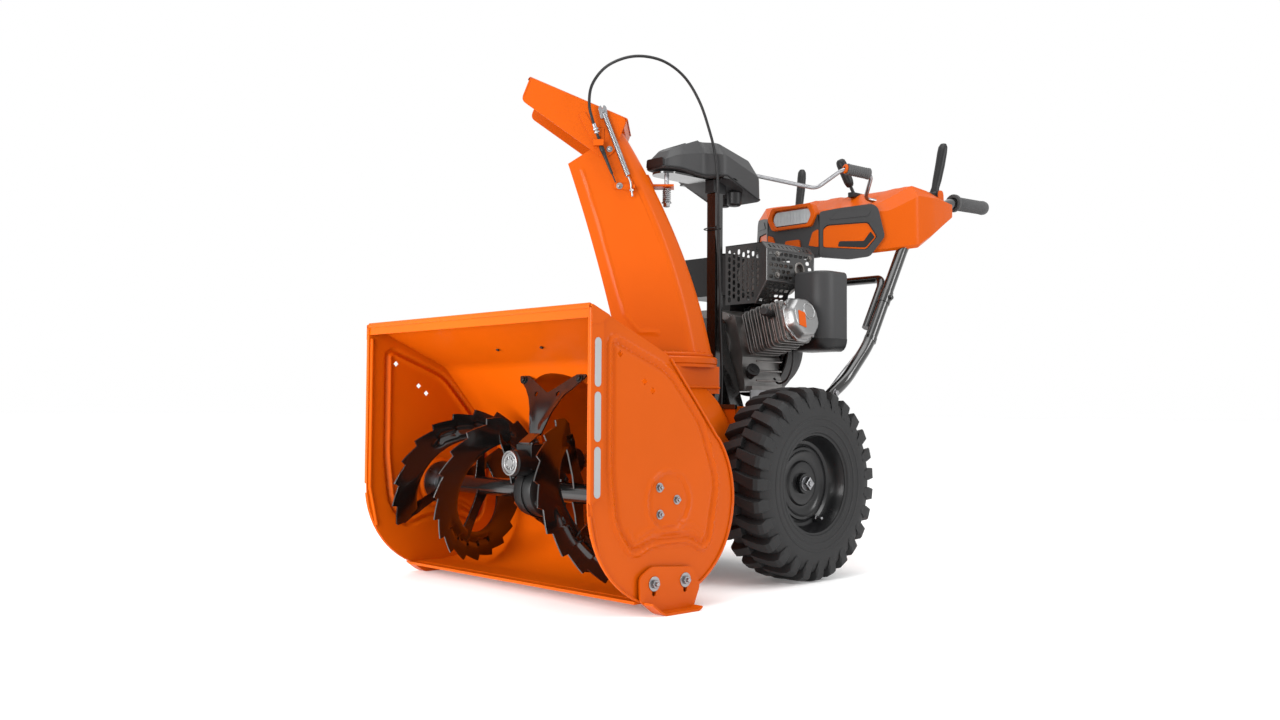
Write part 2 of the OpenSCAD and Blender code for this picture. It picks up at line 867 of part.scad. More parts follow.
module crankcase() {
    outline = [
        [-122, deck_z], [66, deck_z], [66, 420], [58, 450], [60, 478], [36, 572],
        [-20, 590], [-100, 590], [-126, 560], [-126, 430]
    ];
    color(cast) machine() difference() {
        union() {
            along(532, 664) polygon(outline);
            translate([crank_x, 0, crank_z]) y_cyl(528, 533, 52);
            block([-128, 540, deck_z], [82, 656, deck_z + 9]);
            bore_pose() translate([40, 0, 0]) rotate([0, 90, 0]) cylinder(r = 46, h = 52);
        }
        bar(plug_a, plug_b, 12);
        translate([crank_x, 0, crank_z]) y_cyl(540, 700, 42);
        translate([crank_x, 0, crank_z]) y_cyl(520, 545, shaft_r + fit);
    }
}

module cylinder_block() {
    fin_half = 52;
    color(cast) machine() bore_pose() {
        translate([92, 0, 0]) rotate([0, 90, 0]) cylinder(r = 40, h = 78);
        for (x = [96 : 9 : 159]) block([x, -fin_half, -fin_half], [x + 3, fin_half, fin_half]);
        block([168, -48, -48], [head_x, 48, 48]);
    }
}

module valve_cover() {
    color(zinc) machine() bore_pose() {
        translate([head_x, 0, 0]) rotate([22.5, 0, 0]) rotate([0, 90, 0]) octagon(54, 16);
        translate([head_x + 16, 0, 0]) rotate([22.5, 0, 0]) rotate([0, 90, 0]) octagon(46, 14);
    }
}

module octagon(r, h) {
    linear_extrude(h) polygon([for (k = [0 : 7]) r * [cos(45 * k), sin(45 * k)]]);
}

module muffler() {
    color(grey) machine() {
        translate([55, 0, 668]) y_cyl(566, 692, 40);
        bar([55, 620, 632], [70, 612, 604], 14);
        bar([90, 660, 676], [112, 664, 682], 17);
    }
}

module muffler_guard() {
    t = 1.5;
    shape = [[-8, 600], [84, 600], [118, 650], [118, 722], [104, 738], [-8, 738]];
    hollow = [
        [-9, 599], [84 - t, 599], [118 - t, 650], [118 - t, 722 - t], [104 - t, 738 - t], [-9, 738 - t]
    ];
    color(black) machine() {
        difference() {
            along(548, 718) polygon(shape);
            along(548 + t, 719) polygon(hollow);
            translate([0, 664, 682]) x_cyl(102, 132, 19);
        }
        along(548, 548 + t) polygon([[-8, 586.2], [16, 578.5], [16, 600], [-8, 600]]);
    }
}

module blower_housing() {
    color(grey) machine() translate([crank_x, 0, crank_z]) {
        difference() {
            union() {
                y_cyl(664, 706, 116);
                block([90, 680, -5], [heater_x - crank_x, 700, 55]);
            }
            y_cyl(663, 702, 112);
        }
        difference() {
            y_cyl(706, 748, 92);
            y_cyl(705, 744, 88);
        }
    }
}

module fuel_tank() {
    color(black) machine() {
        difference() {
            block([-188, 575, 628], [-22, 740, 722]);
            block([-184, 579, 632], [-26, 736, 718]);
            translate([-110, 660, 700]) cylinder(r = filler_r, h = 40);
        }
        block([-96, 600, 590], [-40, 650, 628]);
    }
}

module heater_box() {
    outer = [[heater_x, 505], [206, 505], [206, 676], [120, 676], [120, 597], [heater_x, 597]];
    inner = [[heater_x + 3, 508], [203, 508], [203, 673], [123, 673], [123, 594], [heater_x + 3, 594]];
    color(black) machine() {
        difference() {
            along(646, 736) polygon(outer);
            along(649, 733) polygon(inner);
            translate([150, 0, 560]) y_cyl(730, 740, 13);
        }
        block([heater_x, 648, 492], [200, 734, 505]);
    }
}

module oil_plug() {
    color(black) machine() {
        bar(plug_a, plug_b, 12);
        bar(plug_b, plug_c, 16);
    }
}

module crankshaft() {
    color(zinc) machine() {
        translate([crank_x, 0, crank_z]) {
            y_cyl(487, 700, shaft_r);
            y_cyl(560, 640, 30);
            y_cyl(668, 694, 100);
        }
        pulley([crank_x, crank_z], small_r);
    }
}

// ---------------------------------------------------------------- wheels

module tyre() {
    bead_r = 101;
    half = tyre_w / 2;
    bead = half - 13.3;
    side = [
        [bead_r, bead], [118, bead], [bead_r + 30, half - 2], [tyre_r - 36, half],
        [tyre_r - 12, half - 6], [tyre_r, half - 24]
    ];
    inside = [[tyre_r - 18, 0], [tyre_r - 34, half - 12], [bead_r + 8, half - 22]];
    color(black) machine() wheel_pose() translate([wheel_x, 0, 0]) rotate([0, 90, 0])
        rotate_extrude($fn = 96) polygon(concat(
            side, [for (p = reversed(side)) [p[0], -p[1]]],
            [for (p = reversed(inside)) [p[0], -p[1]]], [inside[1], inside[2]]
        ));
}

module rim() {
    half = tyre_w / 2;
    flange = half - 10;
    barrel = [
        [97, -flange], [113, -flange], [113, -flange + 3], [100, -flange + 3],
        [100, flange - 3], [113, flange - 3], [113, flange], [97, flange]
    ];
    disc = [[18, 4], [60, 4], [98, 24], [98, 28], [58, 8], [18, 8]];
    color(grey) machine() wheel_pose() {
        translate([wheel_x, 0, 0]) rotate([0, 90, 0]) rotate_extrude() polygon(barrel);
        translate([wheel_x, 0, 0]) rotate([0, 90, 0]) rotate_extrude() polygon(disc);
        x_cyl(wheel_x - 40, wheel_x + 30, 22);
        x_cyl(128, wheel_x + 40, axle_r);
    }
}

module tyre_left() {
    tyre();
}

module tyre_right() {
    mirror([1, 0, 0]) tyre();
}

module rim_left() {
    rim();
}

module rim_right() {
    mirror([1, 0, 0]) rim();
}

// ---------------------------------------------------------------- handlebars and console

module handlebar() {
    color(black) machine() swept_tube(bar_path, bar_r, 2, 16, [1, 0, 0]);
}

module handlebar_left() {
    handlebar();
}

module handlebar_right() {
    mirror([1, 0, 0]) handlebar();
}

module cross_brace() {
    leg_x = 193;
    route = [
        [leg_x, 820, 552], [leg_x, 883, 658], [leg_x - 10, 893, 675],
        [10 - leg_x, 893, 675], [-leg_x, 883, 658], [-leg_x, 820, 552]
    ];
    leg = route[1] - route[0];
    color(black) machine() swept_tube(route, 10, 2, 16, cross(leg, [1, 0, 0]));
}

module hand_grips() {
    color(black) machine() both_sides() difference() {
        union() {
            bar([bar_x, grip_y0, 890.1], [bar_x, rear_y, 896.2], 17.5);
            bar([bar_x, grip_y0, 890.1], [bar_x, grip_y0 + 9, 890.5], 23);
        }
        bar([bar_x, grip_y0 - 2, 890], [bar_x, 1312, 896], bar_r + fit);
    }
}

// plan of the console, right half mirrored from the left
console_half = [[79, 796], [206, 900], [252, 950], [258, 1010], [254, 1107], [196, 1118]];

module console_plan(grow) {
    polygon(concat(
        [for (p = console_half) [p[0] + grow, p[1] + (p[1] < 900 ? -grow : 0)]],
        [for (i = [len(console_half) - 1 : -1 : 0])
            [-console_half[i][0] - grow, console_half[i][1] + (console_half[i][1] < 900 ? -grow : 0)]]
    ));
}

module console_shell() {
    t = 3;
    side = [
        [796, 760], [796, 845], [900, 862], [955, 905], [1040, 896], [1118, 876],
        [1118, 850], [960, 752], [880, 738]
    ];
    hollow = [
        [790, 700], [796 + t, 841], [900, 858], [955, 901], [1040, 892], [1112, 873],
        [1112, 852], [960, 757], [960, 700]
    ];
    color(paint) machine() difference() {
        intersection() {
            across(-262, 262) polygon(side);
            linear_extrude(1000) console_plan(0);
        }
        intersection() {
            across(-262, 262) polygon(hollow);
            linear_extrude(1000) console_plan(-t);
        }
        both_sides() bar_chain(
            [[bar_x, 860, 620], [bar_x, 947, 766], [bar_x, 1100, 868], [bar_x, 1161, 890]], bar_r + 3
        );
        translate([70, 965, 880]) block([-7, -40, -30], [7, 40, 60]);
        crank_pose() translate([0, 0, 330]) cylinder(r = 5.2, h = 50);
    }
    // ears that carry the paddle pivots
    color(paint) machine() both_sides() difference() {
        translate([bar_x, paddle_pivot[1], 0]) for (x = [-22, 18])
            block([x, -10, 880], [x + 4, 10, paddle_pivot[2] + 9]);
        translate([0, paddle_pivot[1], paddle_pivot[2]]) x_cyl(bar_x - 40, bar_x + 40, pin_r + 0.1);
    }
}

module console_panels() {
    t = 10;
    face_d = unit([206 - 79, 900 - 796, 0]);
    color(grey) machine() both_sides()
        translate([79, 796, 0]) rotate([0, 0, atan2(face_d[1], face_d[0])])
            block([22, -t, 764], [162, 0, 842]);
}

module headlight() {
    color("lightgrey") machine() block([-76, 776, 800], [76, 796, 866]);
}

module speed_lever() {
    pivot = [70, 965, 862];
    color(black) machine() {
        bar(pivot, pivot + [0, -26, 78], 4);
        bar(pivot + [0, -20, 60], pivot + [0, -42, 126], 13);
        translate(pivot) x_cyl(-8, 8, 8);
    }
}

module paddle() {
    color(black) machine() {
        bar(paddle_pivot, paddle_top, 8);
        translate([0, paddle_pivot[1], paddle_pivot[2]]) {
            x_cyl(bar_x - 16, bar_x + 16, 9);
            x_cyl(bar_x - 25, bar_x + 25, pin_r);
        }
        translate(paddle_top) sphere(r = 9.5);
    }
}

module paddle_left() {
    paddle();
}

module paddle_right() {
    mirror([1, 0, 0]) paddle();
}

module deflector_cable() {
    color(black) machine() swept_line(cable_path, cable_r, 8);
}

module traction_cable() {
    color(black) machine() swept_line(traction_path, traction_r, 8);
}

// ---------------------------------------------------------------- small controls

module recoil_handle() {
    color(black) machine() translate([crank_x, 0, crank_z + 50]) {
        translate([0, 760, 0]) x_cyl(-26, 26, 9);
        y_cyl(748.4, 756, 6);
    }
}

module primer_bulb() {
    color("firebrick") machine() translate([150, 0, 560]) y_cyl(728, 748, 12);
}

module fuel_cap() {
    color(black) machine() translate([-110, 660, 722.4]) {
        cylinder(r = 27, h = 16);
        translate([0, 0, -8]) cylinder(r = filler_r - fit, h = 8);
    }
}

housing_wrap();
side_plates();
reflector_strips();
impeller_drum();
scraper_bar();
skid_shoes();
housing_bolts();
auger_bushes();
gearcase();
gearcase_brace();
chute_base();
tractor_frame();
frame_cover();
belt_cover();
auger_belt();
engine_plate();
crankcase();
cylinder_block();
valve_cover();
muffler();
muffler_guard();
blower_housing();
fuel_tank();
heater_box();
oil_plug();
tower_post();
tower_head();
head_cover();
handlebar_left();
handlebar_right();
cross_brace();
hand_grips();
console_shell();
console_panels();
headlight();
deflector_cable();
traction_cable();
auger_shaft();
auger_rake_left();
auger_rake_right();
worm_wheel();
impeller();
impeller_shaft();
crankshaft();
tyre_left();
rim_left();
tyre_right();
rim_right();
chute();
chute_gear();
deflector();
deflector_spring();
chute_crank();
chute_pinion();
paddle_left();
paddle_right();
speed_lever();
recoil_handle();
primer_bulb();
fuel_cap();
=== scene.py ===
"""Looks of a two stage snow blower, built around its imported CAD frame.

Shapes are given in millimetres in the machine's own axes: X to the operator's left, Y
back from the auger shaft and Z up from the ground. place() turns them into row metres.
"""
import json
from math import acos, atan2, cos, exp, hypot, pi, radians, sin

import bmesh
import bpy
import numpy as np
from mathutils import Matrix, Vector
from mathutils.geometry import delaunay_2d_cdt


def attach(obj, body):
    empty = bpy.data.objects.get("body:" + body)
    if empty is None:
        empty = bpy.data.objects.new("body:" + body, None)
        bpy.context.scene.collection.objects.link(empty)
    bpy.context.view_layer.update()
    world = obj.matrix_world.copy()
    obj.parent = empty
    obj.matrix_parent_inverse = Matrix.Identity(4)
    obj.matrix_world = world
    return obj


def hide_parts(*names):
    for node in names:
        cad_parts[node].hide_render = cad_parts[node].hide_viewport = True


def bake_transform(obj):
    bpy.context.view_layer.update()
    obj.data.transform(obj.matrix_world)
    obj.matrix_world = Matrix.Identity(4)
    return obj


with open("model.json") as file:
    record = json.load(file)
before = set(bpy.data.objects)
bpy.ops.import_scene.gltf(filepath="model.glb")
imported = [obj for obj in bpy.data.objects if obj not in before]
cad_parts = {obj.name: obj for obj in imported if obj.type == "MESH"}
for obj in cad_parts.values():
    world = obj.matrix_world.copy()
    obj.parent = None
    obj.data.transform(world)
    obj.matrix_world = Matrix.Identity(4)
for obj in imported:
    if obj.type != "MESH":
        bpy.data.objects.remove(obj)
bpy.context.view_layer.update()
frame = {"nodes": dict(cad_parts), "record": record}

MM = 0.001
MID_Y = 564.0  # machine Y of the row frame's origin
X, Y, Z = (1, 0, 0), (0, 1, 0), (0, 0, 1)
UP = Vector(Z)
SIDES = ((1, "left"), (-1, "right"))


def place(p):
    """Machine millimetres to row metres."""
    return Vector((p[0], p[1] - MID_Y, p[2])) * MM


# ---------------------------------------------------------------- materials


def shade(c, k):
    """The colour made k times as bright, with its alpha."""
    return tuple(min(1.0, v * k) for v in c) + (1.0,)


def material(name, color, rough, metal=0.0, coat=0.0, mottle=0.06, scale=9.0, bump=0.05,
             bump_scale=900.0, bump_mm=0.15, spread=0.08, specular=0.5):
    """Principled finish with a cloudy tint, uneven gloss and a fine surface grain."""
    m = bpy.data.materials.new(name)
    m.use_nodes = True
    nodes = m.node_tree.nodes

    def filled(node, **values):
        for socket, value in values.items():
            node.inputs[socket.replace("_", " ")].default_value = value
        return node
    bsdf = filled(nodes["Principled BSDF"], Metallic=metal, Coat_Weight=coat, Coat_Roughness=0.12,
                  Specular_IOR_Level=specular)
    where = nodes.new("ShaderNodeTexCoord")
    cloud = filled(nodes.new("ShaderNodeTexNoise"), Scale=scale, Detail=4.0)
    tint = nodes.new("ShaderNodeValToRGB")
    for stop, position, k in zip(tint.color_ramp.elements, (0.3, 0.7), (1 - mottle, 1 + mottle)):
        stop.position, stop.color = position, shade(color, k)
    fine = filled(nodes.new("ShaderNodeTexNoise"), Scale=bump_scale, Detail=2.0)
    gloss = filled(nodes.new("ShaderNodeMapRange"), To_Min=max(0.03, rough - spread),
                   To_Max=min(1.0, rough + spread))
    grain = filled(nodes.new("ShaderNodeBump"), Strength=bump, Distance=bump_mm * MM)
    for source, result, node, socket in (
            (where, "Object", cloud, "Vector"), (cloud, "Fac", tint, "Fac"),
            (tint, "Color", bsdf, "Base Color"), (where, "Object", fine, "Vector"),
            (cloud, "Fac", gloss, "Value"), (gloss, "Result", bsdf, "Roughness"),
            (fine, "Fac", grain, "Height"), (grain, "Normal", bsdf, "Normal")):
        m.node_tree.links.new(source.outputs[result], node.inputs[socket])
    return m


ORANGE = material("orange_paint", (0.485, 0.0735, 0.001), 0.34, coat=0.04, mottle=0.025, bump=0.12,
                  bump_scale=520, bump_mm=0.1, spread=0.05, specular=0.09)
BLACK = material("black_paint", (0.0045, 0.0042, 0.004), 0.16, coat=0.6, mottle=0.2, bump=0.15,
                 bump_scale=420, bump_mm=0.12, specular=0.5)
IRON = material("black_casting", (0.006, 0.006, 0.006), 0.38, mottle=0.25, bump=0.5,
                bump_scale=260, bump_mm=0.4, specular=0.3)
GREY = material("grey_plastic", (0.030, 0.030, 0.031), 0.46, mottle=0.06, bump=0.35,
                bump_scale=1500, bump_mm=0.12, specular=0.3)
DARK = material("black_plastic", (0.008, 0.008, 0.0085), 0.42, mottle=0.08, bump=0.35,
                bump_scale=1400, bump_mm=0.12, specular=0.3)
ZINC = material("zinc_plate", (0.30, 0.30, 0.31), 0.30, metal=1.0, mottle=0.1, scale=60,
                bump=0.12, bump_scale=800, bump_mm=0.1)
CAST = material("cast_alloy", (0.21, 0.205, 0.20), 0.42, metal=0.85, mottle=0.16, scale=30,
                bump=0.6, bump_scale=420, bump_mm=0.35)
SILVER = material("satin_alloy", (0.25, 0.25, 0.25), 0.32, metal=0.85, mottle=0.05, scale=40,
                  bump=0.25, bump_scale=900, bump_mm=0.12)
RUBBER = material("tyre_rubber", (0.014, 0.014, 0.0145), 0.6, mottle=0.22, scale=14,
                  bump=0.5, bump_scale=520, bump_mm=0.3, spread=0.1, specular=0.3)
GRIP = material("grip_rubber", (0.066, 0.066, 0.067), 0.6, mottle=0.1, bump=0.5,
                bump_scale=900, bump_mm=0.25, specular=0.3)
RIM = material("rim_paint", (0.006, 0.006, 0.0065), 0.3, coat=0.1, mottle=0.12, bump=0.2,
               bump_scale=500, bump_mm=0.12, specular=0.3)
MUFFLER = material("heated_steel", (0.20, 0.19, 0.18), 0.42, metal=0.9, mottle=0.3, scale=25,
                   bump=0.3, bump_scale=300, bump_mm=0.2)
REFLECT = material("reflective_tape", (0.30, 0.31, 0.32), 0.35, mottle=0.05, bump=0.5,
                   bump_scale=2600, bump_mm=0.1)
LENS = material("lamp_lens", (0.34, 0.36, 0.37), 0.12, coat=0.3, mottle=0.08, scale=60,
                bump=0.4, bump_scale=240, bump_mm=0.6)
GUARD = material("guard_paint", (0.020, 0.020, 0.020), 0.32, coat=0.2, mottle=0.15, bump=0.2,
                 bump_scale=500, bump_mm=0.12)
BRASS = material("bronze", (0.55, 0.36, 0.14), 0.35, metal=1.0)
MATERIAL_OF_SLOT = {
    "orange_paint": ORANGE, "black_steel": BLACK, "black_casting": IRON, "zinc_steel": ZINC,
    "cast_alloy": CAST, "silver_cover": SILVER, "exhaust_steel": MUFFLER, "brass": BRASS,
    "rubber": GRIP, "tyre": RUBBER, "rim_paint": RIM, "dark_plastic": GREY,
    "black_plastic": DARK, "lens": LENS, "reflector": REFLECT,
}
SLOT_OF_MATERIAL = {m.name: s for s, m in MATERIAL_OF_SLOT.items()}
SLOT_OF_MATERIAL[GUARD.name] = "black_steel"

for part in frame["record"]["subparts"]:
    node = frame["nodes"][part["node"]]
    finish = MATERIAL_OF_SLOT[part["material_slot"]]
    for holder in node.material_slots:
        holder.material = finish
    if not node.material_slots:
        node.data.materials.append(finish)

# ---------------------------------------------------------------- shape helpers


def yz(a, b, t):
    """Point (a, b) of an outline in the YZ plane, t across it; xz and xy do the same in theirs."""
    return (t, a, b)


def xz(a, b, t):
    return (a, t, b)


def xy(a, b, t):
    return (a, b, t)


def unit(v):
    """The direction of v, one long."""
    v = Vector(v)
    return v / v.length


def spokes(n, start=0.0):
    """Cosine and sine of n even directions round a circle, from start degrees."""
    turns = [radians(start + 360 / n * k) for k in range(n)]
    return [(cos(w), sin(w)) for w in turns]


def arc(cx, cy, r, a0, a1, n):
    """Points on an arc, degrees."""
    steps = [radians(a0 + (a1 - a0) * i / n) for i in range(n + 1)]
    return [(cx + r * cos(a), cy + r * sin(a)) for a in steps]


def rounded(points, radius, n=5, closed=True):
    """Outline or path with its corners rounded."""
    pts = [Vector(p) for p in points]
    out, count = [], len(pts)
    for i, p in enumerate(pts):
        if not closed and i in (0, count - 1):
            out.append(p)
            continue
        a, b = pts[i - 1], pts[(i + 1) % count]
        da, db = (a - p), (b - p)
        cut = min(radius, da.length * 0.45, db.length * 0.45)
        p0, p1 = p + unit(da) * cut, p + unit(db) * cut
        for k in range(n + 1):
            t = k / n
            out.append(p0 * (1 - t) ** 2 + p * 2 * t * (1 - t) + p1 * t * t)
    return out


def soft(pts, r=14, n=4, closed=True):
    """Flat outline with its corners rounded, as plain pairs."""
    return [tuple(p) for p in rounded(pts, r, n, closed)]


def spline(points, n=8):
    """Smooth path through the points."""
    pts = [Vector(p) for p in points]
    ext = [pts[0] * 2 - pts[1]] + pts + [pts[-1] * 2 - pts[-2]]
    out = []
    for i in range(1, len(ext) - 2):
        p0, p1, p2, p3 = ext[i - 1:i + 3]
        for k in range(n):
            t = k / n
            out.append(0.5 * (2 * p1 + (p2 - p0) * t + (2 * p0 - 5 * p1 + 4 * p2 - p3) * t * t
                              + (3 * p1 - p0 - 3 * p2 + p3) * t ** 3))
    return out + [pts[-1]]


def inside(points, loops):
    """Which of the points lie inside the loops, by the even-odd rule."""
    x, y = points[:, 0], points[:, 1]
    hit = np.zeros(len(points), bool)
    for loop in loops:
        for (x0, y0), (x1, y1) in zip(loop, loop[1:] + loop[:1]):
            if y0 == y1:
                continue
            crosses = (y0 > y) != (y1 > y)
            hit ^= crosses & (x < (x1 - x0) * (y - y0) / (y1 - y0) + x0)
    return hit


def distance(points, loop):
    """Distance of each point from a closed loop, positive inside."""
    best = np.full(len(points), 1e9)
    for a, b in zip(loop, loop[1:] + loop[:1]):
        a, b = np.array(a), np.array(b)
        d = b - a
        t = np.clip(((points - a) @ d) / max(d @ d, 1e-9), 0, 1)
        best = np.minimum(best, np.hypot(*(points - a - t[:, None] * d).T))
    return np.where(inside(points, [loop]), best, -best)


class Shape:
    """Solids gathered into one mesh, in machine millimetres."""

    def __init__(self):
        self.verts, self.faces = [], []

    def add(self, verts, faces):
        base = len(self.verts)
        self.verts += [Vector(v) for v in verts]
        self.faces += [[i + base for i in f] for f in faces]
        return self

    def skin(self, rings, closed=True, loop=False):
        """Skin over rings of equal length; closed caps the ends, loop joins last to first."""
        m, k = len(rings[0]), len(rings)
        faces = []
        for i in range(k if loop else k - 1):
            a, b = i * m, (i + 1) % k * m
            faces += [[a + j, a + (j + 1) % m, b + (j + 1) % m, b + j] for j in range(m)]
        if closed and not loop:
            faces += [list(range(m))[::-1], list(range((k - 1) * m, k * m))]
        return self.add([p for r in rings for p in r], faces)

    def tube(self, path, radius, sides=16, loop=False):
        """Round bar along a path; radius may be one number or one for each point."""
        pts = [Vector(p) for p in path]
        count = len(pts)
        radii = radius if isinstance(radius, (list, tuple)) else [radius] * count
        side, rings = None, []
        for i, p in enumerate(pts):
            a = pts[i - 1] if i or loop else p
            b = pts[(i + 1) % count] if i < count - 1 or loop else p
            t = unit(b - a)
            if side is None:
                side = unit(t.cross(UP if abs(t.z) < 0.9 else Vector((1, 0, 0))))
            side = unit(side - t * side.dot(t))
            up = t.cross(side)
            rings.append([p + radii[i] * (side * c + up * s) for c, s in spokes(sides)])
        return self.skin(rings, loop=loop)

    def lathe(self, origin, axis, profile, n=48, close=False):
        """Solid of revolution; profile is (distance along the axis, radius)."""
        axis = unit(axis)
        side = unit(axis.cross(UP if abs(axis.z) < 0.9 else Vector((1, 0, 0))))
        up = axis.cross(side)
        origin = Vector(origin)
        m = len(profile)
        verts, faces = [], []
        for k, (c, s) in enumerate(spokes(n)):
            verts += [origin + axis * a + (side * c + up * s) * r for a, r in profile]
            a, b = k * m, (k + 1) % n * m
            for j in range(m if close else m - 1):
                j1 = (j + 1) % m
                quad = [a + j, a + j1, b + j1, b + j]
                if profile[j][1] <= 0:
                    quad.pop()
                elif profile[j1][1] <= 0:
                    quad.pop(2)
                faces.append(quad)
        return self.add(verts, faces)

    def slab(self, outer, holes, low, high, to3d, grid=0.0, height=None):
        """Plate with holes; height() lifts both its faces at the grid points between."""
        loops = [[tuple(p[:2]) for p in loop] for loop in [outer, *holes]]
        coords, edges = [], []
        for loop in loops:
            base, n = len(coords), len(loop)
            coords += [Vector(p) for p in loop]
            edges += [(base + i, base + (i + 1) % n) for i in range(n)]
        if grid:
            box = np.array(loops[0])
            lo, hi = box.min(0) + grid / 2, box.max(0)
            gx, gy = np.meshgrid(np.arange(lo[0], hi[0], grid), np.arange(lo[1], hi[1], grid))
            pts = np.stack([gx.ravel(), gy.ravel()], 1)
            pts[:, 0] += np.where(np.round((pts[:, 1] - lo[1]) / grid) % 2 > 0, grid / 2, 0)
            far = np.min([np.abs(distance(pts, loop)) for loop in loops], axis=0)
            coords += [Vector(p) for p in pts[inside(pts, loops) & (far > grid * 0.4)]]
        verts, _, tris, *_ = delaunay_2d_cdt(coords, edges, [], 0, 1e-5)
        flat = np.array([tuple(v) for v in verts])
        tri = np.array([t[:3] for t in tris])
        tri = tri[inside(flat[tri].mean(1), loops)]
        used = {}
        for t in tri.tolist():
            for a, b in ((t[0], t[1]), (t[1], t[2]), (t[2], t[0])):
                used[(a, b)] = used.get((a, b), 0) + 1
        rim = [(a, b) for a, b in used if (b, a) not in used]
        lift = height(flat) if height else np.zeros(len(flat))
        n = len(flat)
        points = [to3d(p[0], p[1], low + h) for p, h in zip(flat, lift)]
        points += [to3d(p[0], p[1], high + h) for p, h in zip(flat, lift)]
        faces = [t[::-1] for t in tri.tolist()] + (tri + n).tolist()
        faces += [[a, b, b + n, a + n] for a, b in rim]
        return self.add(points, faces)

    def prism(self, outline, lo, hi, plane=yz):
        """Outline extruded from lo to hi across its plane."""
        return self.skin([[plane(*p, t) for p in outline] for t in (lo, hi)])

    def box(self, a, b):
        """Block between two opposite corners, a the lower one."""
        return self.prism([(a[1], a[2]), (b[1], a[2]), (b[1], b[2]), (a[1], b[2])], a[0], b[0])

    def bolt(self, at, axis, r=6.0, h=5.0, washer=0.0, stud=0.0, dome=False):
        """Hexagon or domed head on a washer, with a stud's end."""
        at, axis = Vector(at), unit(axis)
        if washer:
            self.lathe(at, axis, disc(1.6, washer), 24)
            at = at + axis * 1.6
        if dome:
            cap = [(0, 0), (0, r), (h * 0.5, r * 0.9), (h * 0.9, r * 0.5), (h, 0)]
            self.lathe(at, axis, cap, 20)
        else:
            self.lathe(at, axis, [(0, 0), (0, r), (h * 0.8, r), (h, r * 0.82), (h, 0)], 6)
        if stud:
            top = at + axis * h
            self.lathe(top, axis, [(0, 0), (0, r * 0.52), (stud, r * 0.5), (stud + 1, r * 0.35),
                                   (stud + 1, 0)], 16)
        return self

    def build(self, name, at=place):
        """The gathered mesh as a loose object, with its normals turned outwards."""
        mesh = bpy.data.meshes.new(name)
        mesh.from_pydata([at(v) for v in self.verts], [], self.faces)
        bm = bmesh.new()
        bm.from_mesh(mesh)
        bmesh.ops.remove_doubles(bm, verts=bm.verts, dist=1e-6)
        bmesh.ops.recalc_face_normals(bm, faces=bm.faces)
        bm.to_mesh(mesh)
        bm.free()
        obj = bpy.data.objects.new(name, mesh)
        bpy.context.scene.collection.objects.link(obj)
        return obj

    def piece(self, name, finish, body, replaces=(), bevel=0.0, angle=32, segments=2, at=place,
              between=None):
        """The mesh as a piece that rides on a body; given between, it is only baked where it stands
        and rides on none.
        """
        obj = self.build(name, at)
        obj.data.shade_smooth()
        obj.data.set_sharp_from_angle(angle=radians(angle))
        obj.data.materials.append(finish)
        if bevel:
            mod = obj.modifiers.new("soft_edges", "BEVEL")
            mod.width = bevel * MM
            mod.segments = segments
            mod.limit_method = "ANGLE"
            mod.angle_limit = radians(angle)
            mod.harden_normals = True
        if between:
            tuple(at(between[1]))
            tuple(at(between[2]))
            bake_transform(obj)
        else:
            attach(obj, body)
        if replaces:
            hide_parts(*replaces)
        return obj


def carve(obj, shape):
    """Takes the shape out of obj for good."""
    cutter = shape.build("cutter")
    mod = obj.modifiers.new("cut", "BOOLEAN")
    mod.object = cutter
    mod.solver = "EXACT"
    graph = bpy.context.evaluated_depsgraph_get()
    graph.update()
    mesh = bpy.data.meshes.new_from_object(obj.evaluated_get(graph))
    obj.modifiers.clear()
    obj.data = mesh
    bpy.data.objects.remove(cutter)
    mesh.set_sharp_from_angle(angle=radians(32))


def smooth_step(t):
    """Rises from 0 to 1 with level ends."""
    t = np.clip(t, 0, 1)
    return t * t * (3 - 2 * t)


def bead(d, middle, half):
    """Height of a pressed bead, 1 on its middle line."""
    return np.exp(-(((d - middle) / half) ** 2))


def circle(cx, cy, r, n=16):
    """Outline of a round hole."""
    return [(cx + r * c, cy + r * s) for c, s in spokes(n)]


def disc(h, r, bore=0):
    """Section of a plain disc or, with a bore, of a sleeve."""
    return [(0, bore), (0, r), (h, r), (h, bore)]


def slot_hole(cx, cy, half, r, turn=0.0, n=6):
    """Outline of a long round-ended hole."""
    pts = arc(half, 0, r, -90, 90, n) + arc(-half, 0, r, 90, 270, n)
    c, s = cos(radians(turn)), sin(radians(turn))
    return [(cx + c * x - s * y, cy + s * x + c * y) for x, y in pts]

# ---------------------------------------------------------------- auger housing

HALF_OUT, HALF_IN, SHEET = 357.5, 354.5, 3.0
AUGER_Z, BELLY_R, LIP, CORNER = 194.0, 168.0, (-187.0, 531.0), (5.0, 447.0)
TANGENT = 40.47
NOSE, NOSE_R = (-3.0, 196.0), 184.0
DRUM_Z, CHUTE_Y = 250.0, 345.0


def plate_outline(inset=0.0):
    """Side plate seen from its side: lip, corner, belly arc and nose arc."""
    belly = arc(0, AUGER_Z, BELLY_R + SHEET - inset, TANGENT, -90, 26)
    nose = arc(NOSE[0], NOSE[1], NOSE_R - inset, 248, 180, 12)
    return [(LIP[0] + inset, LIP[1] - inset * 1.4), (CORNER[0] - inset * 0.3,
            CORNER[1] - inset * 1.2), (128 - inset, 305), *belly, *nose]


